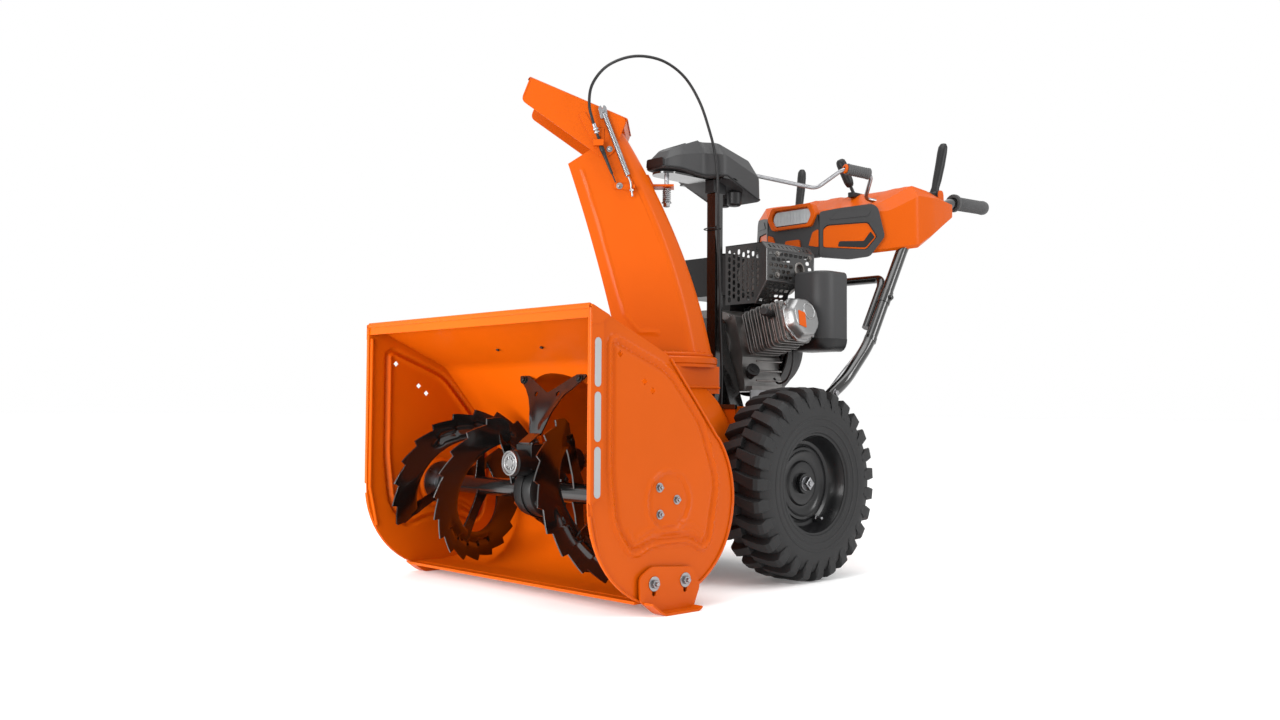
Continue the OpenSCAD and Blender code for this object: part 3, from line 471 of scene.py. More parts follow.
PLATE_HOLES = [(-118.5, 450.5), (-60.8, 404.2), (-41.3, 388.5)]
EMBOSS = soft([(-146, 474), (-127, 484), (6, 432), (92, 337), (134, 227), (112, 116),
               (88, 97), (50, 118), (-34, 118), (-88, 96), (-133, 153), (-146, 254)], 26, 6)
EMBOSS_LOW = soft([(-100, 150), (-86, 122), (-36, 142), (52, 142), (84, 124), (90, 134),
                   (54, 152), (-36, 152), (-84, 132)], 6, 3)


def plate_relief(p):
    """Height of the pressed panel, its border beads, the bearing boss and the low wave."""
    edge = distance(p, EMBOSS)
    h = 2.6 * smooth_step((edge + 3) / 5) + 2.4 * bead(edge, 4.0, 3.6) - 3.6 * bead(edge, 13, 4.0)
    h += 2.0 * bead(distance(p, EMBOSS_LOW), 0, 3.6)
    boss = np.hypot(p[:, 0], p[:, 1] - AUGER_Z)
    h += 2.0 * bead(boss, 54, 3.6) - 1.6 * bead(boss, 46, 3.6)
    return h


def build_side_plates():
    """Pressed plates with diamond holes, a folded front edge and a rim rolled round the belly."""
    y0, z0 = LIP
    diamonds = [[(y + 6.6, z), (y, z + 6.6), (y - 6.6, z), (y, z - 6.6)] for y, z in PLATE_HOLES]
    for sign, name in SIDES:
        def at(y, z, t):
            return (sign * t, y, z)
        plate = Shape().slab(plate_outline(), diamonds, HALF_IN, HALF_OUT, at, grid=4.0,
                             height=lambda p: plate_relief(p) - 3.4)
        ear = [(y0, z0 + 1), (y0 + 42, z0 - 17), (y0 + 20, z0 - 31), (y0, z0 - 34)]
        plate.slab(soft(ear, 3, 2), [], HALF_OUT - 0.6, HALF_OUT + 3.4, at)
        strip = [(y0, z0), (y0 + 28, z0 - 14), (y0 + 28, 210), (y0, 196)]
        plate.prism(soft(strip, 4, 2), sign * (HALF_OUT - 1.2), sign * (HALF_OUT + 2.2))
        plate.tube([at(y, z, HALF_OUT - 1.6) for y, z in plate_outline(1.2)[1:-1]], 2.6, 8)
        plate.tube([at(y0 + 2, z, HALF_OUT - 0.6) for z in (z0 - 6, 200)], 3.0, 8)
        inner = ((8, z0 - 30), (8, 190), (26, 110))
        plate.tube([at(y0 + y, z, HALF_IN - 3) for y, z in inner], 4.2, 10)
        plate.piece(f"side_plate_{name}", ORANGE, "chassis", ["side_plates"], angle=24)
    tape = Shape()
    for low, high in ((393, 476), (301, 385), (207, 293)):
        mark = slot_hole(-172, (low + high) / 2, (high - low) / 2 - 7, 7, 90)
        for sign in (1, -1):
            tape.prism(mark, sign * (HALF_OUT + 2.0), sign * (HALF_OUT + 3.2))
    tape.piece("side_reflectors", REFLECT, "chassis", ["reflector_strips"], bevel=0.4)


def offset(path, t):
    """The same path moved to its left."""
    out = []
    for i, p in enumerate(path):
        a, b = path[max(i - 1, 0)], path[min(i + 1, len(path) - 1)]
        d = (Vector(b) - Vector(a)).normalized()
        out.append((p[0] - d.y * t, p[1] + d.x * t))
    return out


def wrap_path():
    """Inner face of the folded wrap, from the roof's lip round to the scraper."""
    inner = soft([LIP, CORNER, (127.8, 303)], 16, 6, closed=False)
    inner += arc(0, AUGER_Z, BELLY_R, TANGENT, -90, 26)[1:]
    return inner + [(-58, AUGER_Z - BELLY_R + 0.5)]


def build_wrap():
    """Folded sheet with the mouth of the impeller drum cut in it, and its rolled front lip."""
    inner = wrap_path()
    wrap = Shape().prism(inner + offset(inner, SHEET)[::-1], -HALF_IN + 0.2, HALF_IN - 0.2)
    body = wrap.piece("housing_wrap", ORANGE, "chassis", ["housing_wrap"], angle=30)
    carve(body, Shape().lathe((0, -20, DRUM_Z), Y, disc(220, 177.5), 72))
    y0, z0 = LIP
    lip = Shape().tube([(x, y0 + 3.5, z0 - 3) for x in (-HALF_IN, HALF_IN)], 4.6, 14)
    for low, high, first, last in ((1, 26, (-2, 0.8), (-12.5, -10)), (2, 5, (-22, -3), (-22, -3))):
        lip.prism([(y0 + low, z0 + first[0]), (y0 + high, z0 + last[0]), (y0 + high, z0 + last[1]),
                   (y0 + low, z0 + first[1])], -HALF_IN, HALF_IN)
    lip.piece("housing_lip", ORANGE, "chassis", ["housing_wrap"], bevel=0.6)
    studs = Shape()
    for x in (-70, 70):
        studs.bolt((x, -60, 474), (0, -0.4, -0.92), 4.2, 2.5)
    studs.piece("roof_bolts", IRON, "chassis", bevel=0.4)


SHOE = [(-75, 68), (-74, 26), (-40, 4), (56, 4), (60, 8), (75, 42), (54, 76), (-46, 84)]
SHOE_BOLTS = (-41, 36)


def build_skids():
    """Slotted shoe plates and the runners turned out below them."""
    low = [(-66, 21), (-42, 4.2), (-34, 0.2), (50, 0.2), (58, 5)]
    path = low + [(y, z + 4.2) for y, z in low[::-1]]
    slots = [slot_hole(y, 49, 12, 4.6, 90) for y in SHOE_BOLTS]
    for sign, name in SIDES:
        shoe = Shape().slab(soft(SHOE, 9, 4), slots, HALF_OUT + 1.2, HALF_OUT + 5.2,
                            lambda y, z, t: (sign * t, y, z), grid=9)
        shoe.piece(f"skid_plate_{name}", ORANGE, "chassis", ["skid_shoes"], bevel=0.7)
        runner = Shape().prism(soft(path, 6, 3), sign * (HALF_OUT + 1.0), sign * (HALF_OUT + 28))
        runner.piece(f"skid_runner_{name}", ORANGE, "chassis", ["skid_shoes"], bevel=0.9)


def build_housing_bolts():
    bolts = Shape()
    for sign in (1, -1):
        for y, z in ((-23, 219), (20, 196), (-22, 172)):
            bolts.bolt((sign * (HALF_OUT - 1.0), y, z), (sign, 0, 0), 6.2, 4.5, washer=8.6,
                       stud=2.5)
        for y in SHOE_BOLTS:
            bolts.bolt((sign * (HALF_OUT + 5.2), y, 54), (sign, 0, 0), 8, 5.5, washer=13, stud=4)
    bolts.piece("housing_hardware", ZINC, "chassis", ["housing_bolts"], bevel=0.5)


def build_drum():
    """Impeller drum behind the wrap, its chute box, and the base ring of the chute."""
    section = [(0, 177.9), (0, 181), (378, 181), (388, 176), (388, 20), (384.5, 20), (384.5, 174),
               (376, 178)]
    drum = Shape().lathe((0, -10, DRUM_Z), Y, section, 96, close=True)
    body = drum.piece("impeller_drum", ORANGE, "chassis", ["impeller_drum"], angle=30)
    space = offset(wrap_path(), 1.4) + [(-187, 0)]
    carve(body, Shape().prism(space, -200, 200))
    carve(body, Shape().box((-95, 246, 380), (95, 375, 447)))
    box = Shape()
    half, y0, y1, low, top = 98, 243, 419, 391, 450
    corners = [(-half, y0), (half, y0), (half, y1), (-half, y1)]
    ring = soft(corners, 12, 4)
    inner = [(-half + 3, y0 + 3), (half - 3, y0 + 3), (half - 3, y1 - 3), (-half + 3, y1 - 3)]
    inner = soft(inner, 10, 4)
    box.skin([[(*p, z) for p in ring] for z in (low, 440, top)], closed=False)
    box.skin([[(*p, z) for p in inner] for z in (top, 440, low)], closed=False)
    n = len(ring)
    box.faces += [[2 * n + i, 2 * n + (i + 1) % n, 3 * n + (i + 1) % n, 3 * n + i]
                  for i in range(n)]
    box.faces += [[i, (i + 1) % n, 5 * n + (i + 1) % n, 5 * n + i] for i in range(n)]
    box.tube([(*p, 404) for p in soft(corners, 14, 4)], 3.0, 8, loop=True)
    box.piece("chute_box", ORANGE, "chassis", ["impeller_drum"], angle=30)
    flange = Shape().lathe((0, CHUTE_Y, 447), Z, disc(7, 112, 96.5), 72, close=True)
    flange.piece("chute_flange", ORANGE, "chassis", ["impeller_drum"], bevel=0.8)
    section = [(0, 97), (0, 111), (2, 113), (13, 113), (16, 110), (16, 97)]
    ring = Shape().lathe((0, CHUTE_Y, 454), Z, section, 72, close=True)
    for c, s in spokes(6, 12):
        ring.bolt((101 * c, CHUTE_Y + 101 * s, 470), Z, 4.5, 0.4)
    ring.piece("chute_base_ring", ORANGE, "chassis", ["chute_base"], bevel=0.6)


build_side_plates()
build_wrap()
build_skids()
build_housing_bolts()

# ---------------------------------------------------------------- auger rakes and gearcase

PITCH = 300.0


def helix(top, angle, r, lift=0.0):
    """Point on the auger's helix, angle degrees on from where it starts."""
    w = radians(angle)
    return Vector((top + PITCH * angle / 360 + lift, -r * sin(w), AUGER_Z + r * cos(w)))


def build_flight(shape, top, a0, a1):
    """Serrated ribbon on a helix, with a pressed rib and hooked ends."""
    step, tooth = 1.7, 17.0
    count = int((a1 - a0) / step)
    middle, rib_half = (a0 + a1) / 2 + 8, 46
    radii = [98, 101, 105, 111, 115, 119, 123, 127, 131, 136, 148, 160]
    sides = []
    for thick in (-2.0, 2.0):
        ring = []
        for i in range(count + 1):
            a = a0 + (a1 - a0) * i / count
            part = ((a - a0) / tooth) % 1.0
            outer = 148.0 + 12.5 * part ** 1.2
            ends = min(1.0, (a - a0) / 5.0, (a1 - a) / 5.0)
            rib = min(1.0, smooth_step(1 - abs((a - middle) / rib_half)) * 5)
            row = []
            for r in radii:
                rr = 98 + (r - 98) / 62 * (outer - 98)
                rr = 98 + (rr - 98) * (0.8 + 0.2 * ends) if r > 100 else 98 + 4 * (1 - ends)
                up = 5.5 * float(rib) * exp(-(((r - 123) / 6.5) ** 2))
                up += 1.6 * exp(-(((r - 98) / 3.0) ** 2))
                row.append(helix(top, a, rr, thick + up))
            ring.append(row)
        sides.append(ring)
    shape.skin([low + high[::-1] for low, high in zip(*sides)])


def build_rake(name, first_top, sweeps, mirror):
    """Ribbon flights on flat arms along one half of the auger shaft."""
    shape, arms = Shape(), Shape()
    for k, (a0, a1) in enumerate(sweeps):
        top = first_top + k * PITCH / 2
        build_flight(shape, top, a0, a1)
        for a in (a0 + 6, (a0 + a1) / 2, a1 - 6):
            w = radians(a)
            out = Vector((0, -sin(w), cos(w)))
            side = Vector((0, -cos(w), -sin(w)))
            ax = top + PITCH * a / 360
            rings = []
            for r, half in ((15, 13), (40, 10), (82, 10), (104, 12), (118, 10)):
                slope = (r - 15) / 100 * 5
                c, t = Vector((ax + slope - 2.5, 0, AUGER_Z)) + out * r, Vector((2.2, 0, 0))
                rings.append([c + side * half + t, c - side * half + t, c - side * half - t,
                              c + side * half - t])
            arms.skin(rings)
            for s in (-5, 5):
                arms.bolt(Vector((ax + 4.5, 0, AUGER_Z)) + out * 108 + side * s, X, 3.4, 2.0)
    arms.lathe((50, 0, AUGER_Z), X, disc(284, 19, 13.2), 40, close=True)
    for x in (54, 322):
        arms.lathe((x, 0, AUGER_Z), X, disc(10, 21.5, 18), 40, close=True)
        for up in (1, -1):
            arms.bolt((x + 5, 0, AUGER_Z + 21 * up), (0, 0, up), 5.2, 4)

    def at(v):
        return place((-v.x, v.y, v.z)) if mirror else place(v)
    node = f"auger_rake_{name}"
    shape.piece(f"rake_flights_{name}", BLACK, "auger", [node], bevel=0.7, angle=40, at=at)
    arms.piece(f"rake_arms_{name}", BLACK, "auger", [node], bevel=0.5, at=at)


def build_gearcase():
    """Round worm case on the auger shaft, its long neck to the drum, and the pressed cap."""
    case = Shape()
    profile = [(-44, 0), (-44, 24), (-32, 25), (-30, 44), (-26, 51), (-20, 52), (-3, 52), (-3, 55),
               (3, 55), (3, 52), (20, 52), (26, 51), (30, 44), (32, 25), (44, 24), (44, 0)]
    case.lathe((0, 0, AUGER_Z), X, profile, 56)
    case.lathe((0, -78, DRUM_Z), Y, [(0, 0), (0, 22), (4, 26), (92, 26), (96, 30), (110, 30),
                                  (112, 26), (168, 26), (170, 22), (170, 0)], 48)
    case.box((-24, -46, 236), (24, 30, 286))
    for x in (-20, 20):
        for y in (-38, 22):
            case.bolt((x * 0.8, y, 286), Z, 5, 4)
    for c, s in spokes(6, 30):
        if 43 * s < 42:
            for sign in (1, -1):
                case.bolt((sign * 29, 43 * c, AUGER_Z + 43 * s), (sign, 0, 0), 5, 5)
    case.piece("gearcase", IRON, "chassis", ["gearcase"], bevel=1.2, angle=30, segments=3)
    face = [(0, 23.5), (0.5, 24), (4, 24), (4.4, 21), (1.2, 19.5), (1.2, 17), (3.4, 16.2),
            (3.4, 13.6), (0.8, 12.6), (0.8, 9), (3.0, 8), (3.2, 4), (2.6, 0)]
    cap = Shape().lathe((0, -78, DRUM_Z), (0, -1, 0), face, 48)
    for c, s in spokes(10):
        cap.tube([(5 * c, -80.2, DRUM_Z + 5 * s), (17 * c, -80.2, DRUM_Z + 17 * s)], 0.9, 8)
    cap.bolt((0, -16, 290), Z, 5.5, 5, washer=8)
    cap.piece("gearcase_cap", SILVER, "chassis", bevel=0.3)


def build_brace():
    """V-notched stay that leans from the gearcase up to the back wall."""
    half = [(17, 0), (36, 52), (54, 82), (78, 103), (100, 120), (104, 126), (103, 131), (80, 131)]
    outline = half + [(0, 90)] + [(-x, y) for x, y in half[::-1]]
    lean = radians(20.4)

    def at(x, v, t):
        return (x, v * sin(lean) + t * cos(lean), 296 + v * cos(lean) - t * sin(lean))
    holes = [circle(-34, 88, 5.5, 16), circle(34, 88, 5.5, 16)]
    a, b = np.array((17, 20)), np.array((58, 84))

    def relief(p):
        q = np.stack([np.abs(p[:, 0]), p[:, 1]], 1)
        t = np.clip(((q - a) @ (b - a)) / ((b - a) @ (b - a)), 0, 1)
        d = np.hypot(*(q - a - t[:, None] * (b - a)).T)
        return -3.0 * np.exp(-((d / 8) ** 2))
    stay = Shape().slab(soft(outline, 7, 3), holes, 0, 3.2,
                        lambda x, v, t: at(x, v, t - 22 + 0.5), grid=6, height=relief)
    stay.skin([[at(x, 1, -22.5), at(x, 4, -22.5), (x, -46, 289.5), (x, -46, 286.5)]
               for x in (-17, 17)])
    stay.piece("gearcase_stay", BLACK, "chassis", ["gearcase_brace"], angle=30)
    bolts = Shape()
    for x in (-88, 88):
        p = at(x, 119, -22.2)
        bolts.bolt(p, (0, -cos(lean), sin(lean)), 6, 4.5, washer=8.5)
    bolts.piece("stay_bolts", IRON, "chassis", bevel=0.4)


build_rake("left", 105, [(12, 250), (-180, 85)], False)
build_rake("right", 65, [(12, 300), (-132, 126)], True)
build_gearcase()
build_brace()
build_drum()

# ---------------------------------------------------------------- chute and deflector

REST = radians(-45.8)
COS_R, SIN_R = cos(REST), sin(REST)
WALL, CHUTE_SHEET = 75.0, 2.5


def chute_place(v):
    """Forward u, near side w and height to row metres at the chute's rest angle."""
    u, w, z = v
    return place((w * COS_R + u * SIN_R, CHUTE_Y + w * SIN_R - u * COS_R, z))


def chute_edge(s):
    """Back and front edge of the channel, s from its foot to its top, as (u, z)."""
    back = Vector((-100 + 95 * s + 100 * s * s, 476 + 484 * s))
    front = Vector((98 + 90 * s + 24 * s * s, 476 + 409 * s))
    return back, front


def chute_section(s, grow=0.0):
    """Outer face of the channel from the near front edge round the back to the far one."""
    back, front = chute_edge(s)
    wall = (front - back).normalized()
    fold = 20 + 20 * (1 - s)
    panel = 45 - 10 * (1 - s) - grow
    half = WALL - grow
    b, f = back + wall * grow, front
    corner = back + wall * (fold + grow)
    return [(f, half), (corner, half), (b, panel), (b, -panel), (corner, -half), (f, -half)]


def wall_points(s, grow, n_wall=50, n_fold=5):
    """Section with rounded folds, as points (u, w, z)."""
    raw = [Vector((p.x, w, p.y)) for p, w in chute_section(s, grow)]
    out = []
    for i in range(n_wall):
        out.append(raw[0].lerp(raw[1], i / n_wall * 0.94))
    out += rounded(raw, 12, n_fold, closed=False)[1:-1]
    for i in range(n_wall - 1, -1, -1):
        out.append(raw[5].lerp(raw[4], i / n_wall * 0.94))
    return out


def near_wall_relief(f, z):
    """Pressed line along the wall's front edge and the bead that curls in at its foot."""
    line = [(26, 870), (26, 640), (30, 560), (52, 522), (92, 520)]
    best = 1e9
    for (ax, az), (bx, bz) in zip(line, line[1:]):
        t = ((f - ax) * (bx - ax) + (z - az) * (bz - az)) / ((bx - ax) ** 2 + (bz - az) ** 2)
        t = min(1, max(0, t))
        best = min(best, hypot(f - ax - t * (bx - ax), z - az - t * (bz - az)))
    return 2.1 * exp(-((best / 3.6) ** 2))


def build_chute():
    """Folded channel that widens upwards, and the toothed ring it turns on."""
    stations = 116
    rings = []
    for i in range(stations + 1):
        s = i / stations
        front = chute_edge(s)[1]
        outer, inner = wall_points(s, 0.0), wall_points(s, CHUTE_SHEET)
        for a, b in zip(outer, inner):
            if abs(abs(a.y) - WALL) < 0.3:
                lift = near_wall_relief((front - Vector((a.x, a.z))).length, a.z)
                lift = Vector((0, lift if a.y > 0 else -lift, 0))
                a += lift
                b += lift
        rings.append(outer + inner[::-1])
    Shape().skin(rings).piece("chute_channel", ORANGE, "chute", ["chute"], angle=26, at=chute_place)
    section = [(0, 92), (0, 103), (2, 104), (6, 104), (8, 102), (8, 92)]
    ring = Shape().lathe((0, 0, 470.5), Z, section, 80, close=True)
    for c, s in spokes(36):
        ring.tube([(99 * c, 99 * s, 476), (99 * c, 99 * s, 481)], 2.2, 6)
    ring.piece("chute_ring", ORANGE, "chute", ["chute"], bevel=0.5, at=chute_place)


def build_deflector():
    """Hood with a flat top, folded cheeks and a second inner layer below them."""
    cheek = [(85, 982), (296, 1074), (315, 1024), (135, 895), (112, 908)]
    hem = [(295.5, 1072), (311, 1031), (308.5, 1030), (293, 1071)]
    hood = Shape()
    for side in (1, -1):
        hood.slab(soft(cheek, 12, 5), [], side * 75.6, side * 78.1, xz, grid=14)
        hood.prism(hem, side * 76.2, side * 79, xz)
    top = [(83, 979.6), (85, 982), (190, 1028), (296, 1074), (300, 1070)]
    hood.skin([[(u, -78.1, z), (u, -74, z + 2.2), (u, 74, z + 2.2), (u, 78.1, z),
                (u + 1, 74, z - 0.6), (u + 1, -74, z - 0.6)] for u, z in top])
    hood.prism([(91.5, 962), (94, 962), (87, 982.5), (84.5, 982.5)], -76, 76, xz)
    hood.piece("deflector_hood", ORANGE, "deflector", ["deflector"], bevel=0.8, angle=30,
               at=chute_place)
    bracket = Shape()
    strip = [(176, 998), (190, 992), (150, 916), (138, 910), (130, 918)]
    bracket.slab(soft(strip, 6, 3), [], 77.4, 80.6, xz)
    foot = [(134, 918), (156, 918), (156, 962), (134, 962)]
    bracket.slab(foot, [circle(145, 940, 4.2, 12)], 78.1, 80.4, xz)
    bracket.box((134, 78.1, 921), (156, 94, 923.4))
    bracket.box((134, 91.8, 921), (156, 94, 934))
    bracket.piece("cable_bracket", ORANGE, "deflector", ["deflector"], bevel=0.5, at=chute_place)
    pins = Shape()
    for side in (1, -1):
        pins.bolt((122, side * 78.2, 916), (0, side, 0), 4.6, 3, washer=6.5, dome=True)
    pins.piece("deflector_bolts", ZINC, "deflector", bevel=0.4, at=chute_place)


def helix_path(a, b, r, turns, across, hand=1):
    """Points along a coil from a to b, twelve a turn, that starts square to across."""
    axis = (b - a).normalized()
    side = axis.cross(Vector(across)).normalized()
    up = axis.cross(side) * hand
    steps = 12 * turns
    return [a.lerp(b, i / steps) + (side * cos(pi * i / 6) + up * sin(pi * i / 6)) * r
            for i in range(steps + 1)]


def build_spring():
    """Extension spring with its hooks, and the rod down to the lug."""
    a, b = Vector((134, 84.6, 992)), Vector((82, 84.6, 858))
    axis = (b - a).normalized()
    side = axis.cross(Vector(Y)).normalized()
    foot = Vector((76, 86, 842))
    coil = Shape()
    coil.tube([a - axis * 4 + side * 2] + helix_path(a, b, 4.4, 46, Y) + [b + axis * 6], 1.5, 7)
    coil.tube([b + axis * 4, foot, Vector((72, 84, 812))], 2.3, 10)
    coil.lathe(Vector((73.5, 86, 823)), (0.1, 0, 1), disc(4, 4.6), 6)
    coil.piece("deflector_spring", ZINC, "chute", ["deflector_spring"], angle=50, at=chute_place,
               between=("deflector", foot, a))
    hook = Shape()
    claw = [(126, 984), (141, 980), (147, 1004), (141, 1010), (138, 1001), (135, 1011), (129, 1006)]
    hook.slab(soft(claw, 2.5, 2), [], 83.5, 86.5, xz)
    hook.lathe((137, 78, 996), Y, disc(12, 3), 14)
    hook.piece("spring_hook", ZINC, "deflector", bevel=0.4, at=chute_place)


def build_lug():
    """Lug at the spring's foot, and its bolt."""
    lug = Shape().prism([(66, 826), (112, 830), (112, 843), (66, 839)], 75, 78.4, xz)
    lug.box((66, 78.4, 829), (70, 92, 836))
    lug.piece("spring_lug", ORANGE, "chute", bevel=0.6, at=chute_place)
    pin = Shape().bolt((100, 78.4, 836), Y, 4.6, 3.4, washer=7, stud=2)
    pin.piece("lug_bolt", ZINC, "chute", bevel=0.3, at=chute_place)


CABLE = [(-44, 183, 936), (-46, 166, 975), (-47, 157, 1008), (-44, 162, 1050), (-36, 192, 1092),
         (-25, 240, 1121), (-12, 289, 1132), (2, 340, 1126), (16, 386, 1098), (33, 415, 1046),
         (49, 429, 984), (64, 434, 924), (66, 440, 866), (57, 451, 800), (48.6, 462, 740),
         (48.6, 467, 660), (48.6, 468, 560), (52, 468, 500), (56, 466, 430), (58, 462, 366)]


def build_cables():
    """Deflector cable in two curved runs with its ends and tie, and the traction cable."""
    path = spline(CABLE, 10)
    above, joint = CABLE[1], CABLE[3]
    for name, run, body, between in (
            ("deflector_cable", path[30:], "chassis", ("chute", CABLE[10], above)),
            ("deflector_cable_end", path[:31], "chute", ("deflector", joint, above))):
        Shape().tube(run, 3.2, 12).piece(name, DARK, body, ["deflector_cable"], angle=60,
                                         between=between)
    low = Vector(above)
    axis = (Vector(CABLE[0]) - low).normalized()
    taper = [(0, 3.3), (0, 4.3), (20, 4.3), (22, 3.2), (40, 2.6)]
    ends = Shape().lathe(low + axis * 8, axis, taper, 16)
    for along in (18, 25):
        ends.bolt(low + axis * along, axis, 6.4, 4)
    ends.piece("cable_ferrule", ZINC, "deflector", bevel=0.3)
    a, b = Vector((141, 88, 922)), Vector((108, 84, 842))
    folds = [(0, 0), (0, 3.0), (4, 5.2), (14, 5.2), (15, 4.2), (17, 4.8), (19, 4), (21, 4.6),
             (23, 3.8), (44, 3.4), (66, 2.8), (67, 1.5), (86, 1.5), (86, 0)]
    boot = Shape().lathe(a, b - a, folds, 16)
    boot.piece("cable_boot", DARK, "chute", bevel=0.3, at=chute_place, between=("deflector", b, a))
    hoop = [(33.6 + 21 * c, 458 + 16 * s, 764) for c, s in spokes(24)]
    tie = Shape().tube(hoop, 1.4, 8, loop=True)
    tie.box((52, 446, 760), (58, 452, 768))
    tie.piece("cable_tie", DARK, "chassis", bevel=0.3)
    route = [(196, 948, 742), (196, 925, 700), (198, 905, 664), (198, 870, 606), (198, 835, 548),
             (194, 790, 498), (184, 730, 440), (170, 690, 392), (160, 665, 366)]
    wire = Shape().tube(spline(route, 10), 2.0, 10)
    wire.piece("traction_cable", ZINC, "chassis", ["traction_cable"], angle=60)
    coil = helix_path(Vector((198, 898, 652)), Vector((198, 858, 586)), 5, 22, X, hand=-1)
    Shape().tube(coil, 1.3, 6).piece("traction_spring", ZINC, "chassis", angle=50)


def build_chute_gear():
    """Toothed ring and arm at the chute's top, with the sprung bolt on its axis."""
    teeth, outline = 18, []
    for k in range(teeth):
        for r, d in ((23.2, -6.75), (29.6, -2.88), (29.6, 2.88), (23.2, 6.75)):
            w = radians(360 / teeth * k + d)
            outline.append((r * cos(w), r * sin(w)))
    gear = Shape().prism(outline, 884, 892, xy)
    gear.piece("chute_gear_ring", IRON, "chute", ["chute_gear"], bevel=0.4, at=chute_place)
    side = [(-16, 846), (31, 846), (44.6, 872), (39.6, 872), (29, 851), (-16, 851)]
    arm = Shape().prism(side, -22, 22, xz)
    arm.piece("chute_arm", ORANGE, "chute", ["chute_gear"], bevel=0.8, at=chute_place)
    bolt = Shape().lathe((0, 0, 804), Z, disc(80, 5), 20)
    bolt.bolt((0, 0, 812), (0, 0, -1), 8.5, 8)
    bolt.lathe((0, 0, 812), Z, disc(2, 11, 5), 24)
    coil = [(8 * cos(w), 8 * sin(w), 815 + 2.3 * w / pi) for w in np.linspace(0, 13 * pi, 157)]
    bolt.tube(coil, 1.5, 8)
    bolt.piece("chute_spindle", ZINC, "chute", ["chute_gear"], bevel=0.3, angle=45, at=chute_place)


build_chute_gear()
build_chute()
build_deflector()
build_spring()
build_lug()
build_cables()

# ---------------------------------------------------------------- wheels

AXLE_Y, AXLE_Z, WHEEL_X = 484.0, 203.0, 255.0


def wheel_at(sign, x, r, angle):
    """Point x out from the wheel's middle and r from its axle."""
    w = radians(angle)
    return Vector((sign * (WHEEL_X + x), AXLE_Y + r * cos(w), AXLE_Z + r * sin(w)))


def lug(shape, sign, angle, side):
    """Claw lug: a slanted bar from the tread's middle that runs over the shoulder."""
    stations = [(-3, 188.0, 201.5, 0.0, 2.6), (14, 187.6, 202.6, 1.6, 2.7),
                (34, 186, 202.4, 3.6, 2.9), (50, 182, 199.8, 4.8, 3.2), (57, 176, 193.5, 5.0, 3.2),
                (60.4, 165, 178, 5.0, 2.7), (59.8, 156, 162, 5.0, 1.9)]
    rings = []
    for x, low, high, turn, half in stations:
        rings.append([wheel_at(sign, side * x, r, angle + turn + wide) for r, wide in
                      ((low, -half * 1.35), (low, half * 1.35), (high, half), (high, -half))])
    if side < 0:
        rings = [r[::-1] for r in rings]
    shape.skin(rings)


def build_wheel(sign, name):
    """Tyre with ribbed side walls and claw lugs, dished rim, and the axle's end."""
    body, centre, out = f"wheel_{name}", (sign * WHEEL_X, AXLE_Y, AXLE_Z), (sign, 0, 0)
    half = [(0, 188.6), (24, 188.2), (42, 186), (52, 180.5), (57, 172), (59.6, 160), (60.2, 150),
            (59.4, 141), (60.1, 140), (60.1, 136), (59, 135), (57.6, 126), (58.1, 124.8),
            (57.9, 121.5), (56.7, 120.8), (54.8, 113), (55.3, 111.4), (54.2, 107.4), (51, 105.5),
            (49.5, 101.5), (46, 102), (48, 114), (51, 130), (52, 150), (48, 168), (30, 177)]
    ring = half + [(0, 179)] + [(-x, r) for x, r in half[:0:-1]]
    tyre = Shape().lathe(centre, out, ring, 120, close=True)
    tyre.piece(f"tyre_{name}", RUBBER, body, [f"tyre_{name}"], angle=28)
    rib = (((56, 171, -1.2), (56, 171, 1.2), (59.6, 158, 0.9), (59.6, 158, -0.9)),
           ((59.8, 173, -0.9), (59.8, 173, 0.9), (60.9, 158, 0.6), (60.9, 158, -0.6)))
    lugs, count = Shape(), 27
    for k in range(count):
        lug(lugs, sign, 360 / count * k, 1)
        lug(lugs, sign, 360 / count * (k + 0.5), -1)
        for side in (1, -1):
            a = 360 / count * (k + 0.27 + (0.5 if side < 0 else 0))
            lugs.skin([[wheel_at(sign, side * x, r, a + da) for x, r, da in face] for face in rib])
    lugs.piece(f"tyre_lugs_{name}", RUBBER, body, [f"tyre_{name}"], bevel=1.4, angle=30)
    outer = [(47.5, 110), (50.5, 109.5), (50.8, 106), (49, 102.8), (45, 101), (38, 98), (30, 95),
             (22, 92.5), (16, 89), (13, 83), (14.5, 78), (17.5, 75.5), (17.5, 70), (14, 66.5),
             (11, 60), (11.6, 48), (15.5, 44.5), (16.5, 40), (15, 30), (15.5, 24), (15.5, 15)]
    back = [(12.5, 15), (12.5, 40), (8, 46), (8, 60), (10, 68), (13.5, 72), (10, 82), (13, 92),
            (-30, 97), (-46, 101), (-50.8, 107), (-50.5, 110), (-48, 110), (-40, 103.5), (20, 96.5),
            (38, 101.5)]
    rim = Shape().lathe(centre, out, outer + back, 96, close=True)
    rim.lathe(centre, out, [(-72, 13), (-72, 22), (20, 22), (24, 20.5), (24, 12)], 40, close=True)
    rim.piece(f"rim_{name}", RIM, body, [f"rim_{name}"], angle=30)
    hub = Shape().lathe(centre, out, [(24, 0), (24, 15), (26, 15), (26, 0)], 28)
    hub.lathe(centre, out, [(26, 0), (26, 14.5), (35, 14.5), (37, 12.8), (37, 0)], 4)
    hub.lathe(centre, out, [(37, 0), (37, 6.5), (40, 6.2), (41, 0)], 20)
    valve = [(-6, 0), (-6, 5), (2, 5), (3, 3.6), (16, 3.6), (17, 2.6), (17, 0)]
    hub.lathe(wheel_at(sign, 20, 84, -62), out, valve, 14)
    hub.piece(f"axle_nut_{name}", ZINC, body, bevel=0.7)


for side_sign, side_name in SIDES:
    build_wheel(side_sign, side_name)

# ---------------------------------------------------------------- handlebars, grips, crank

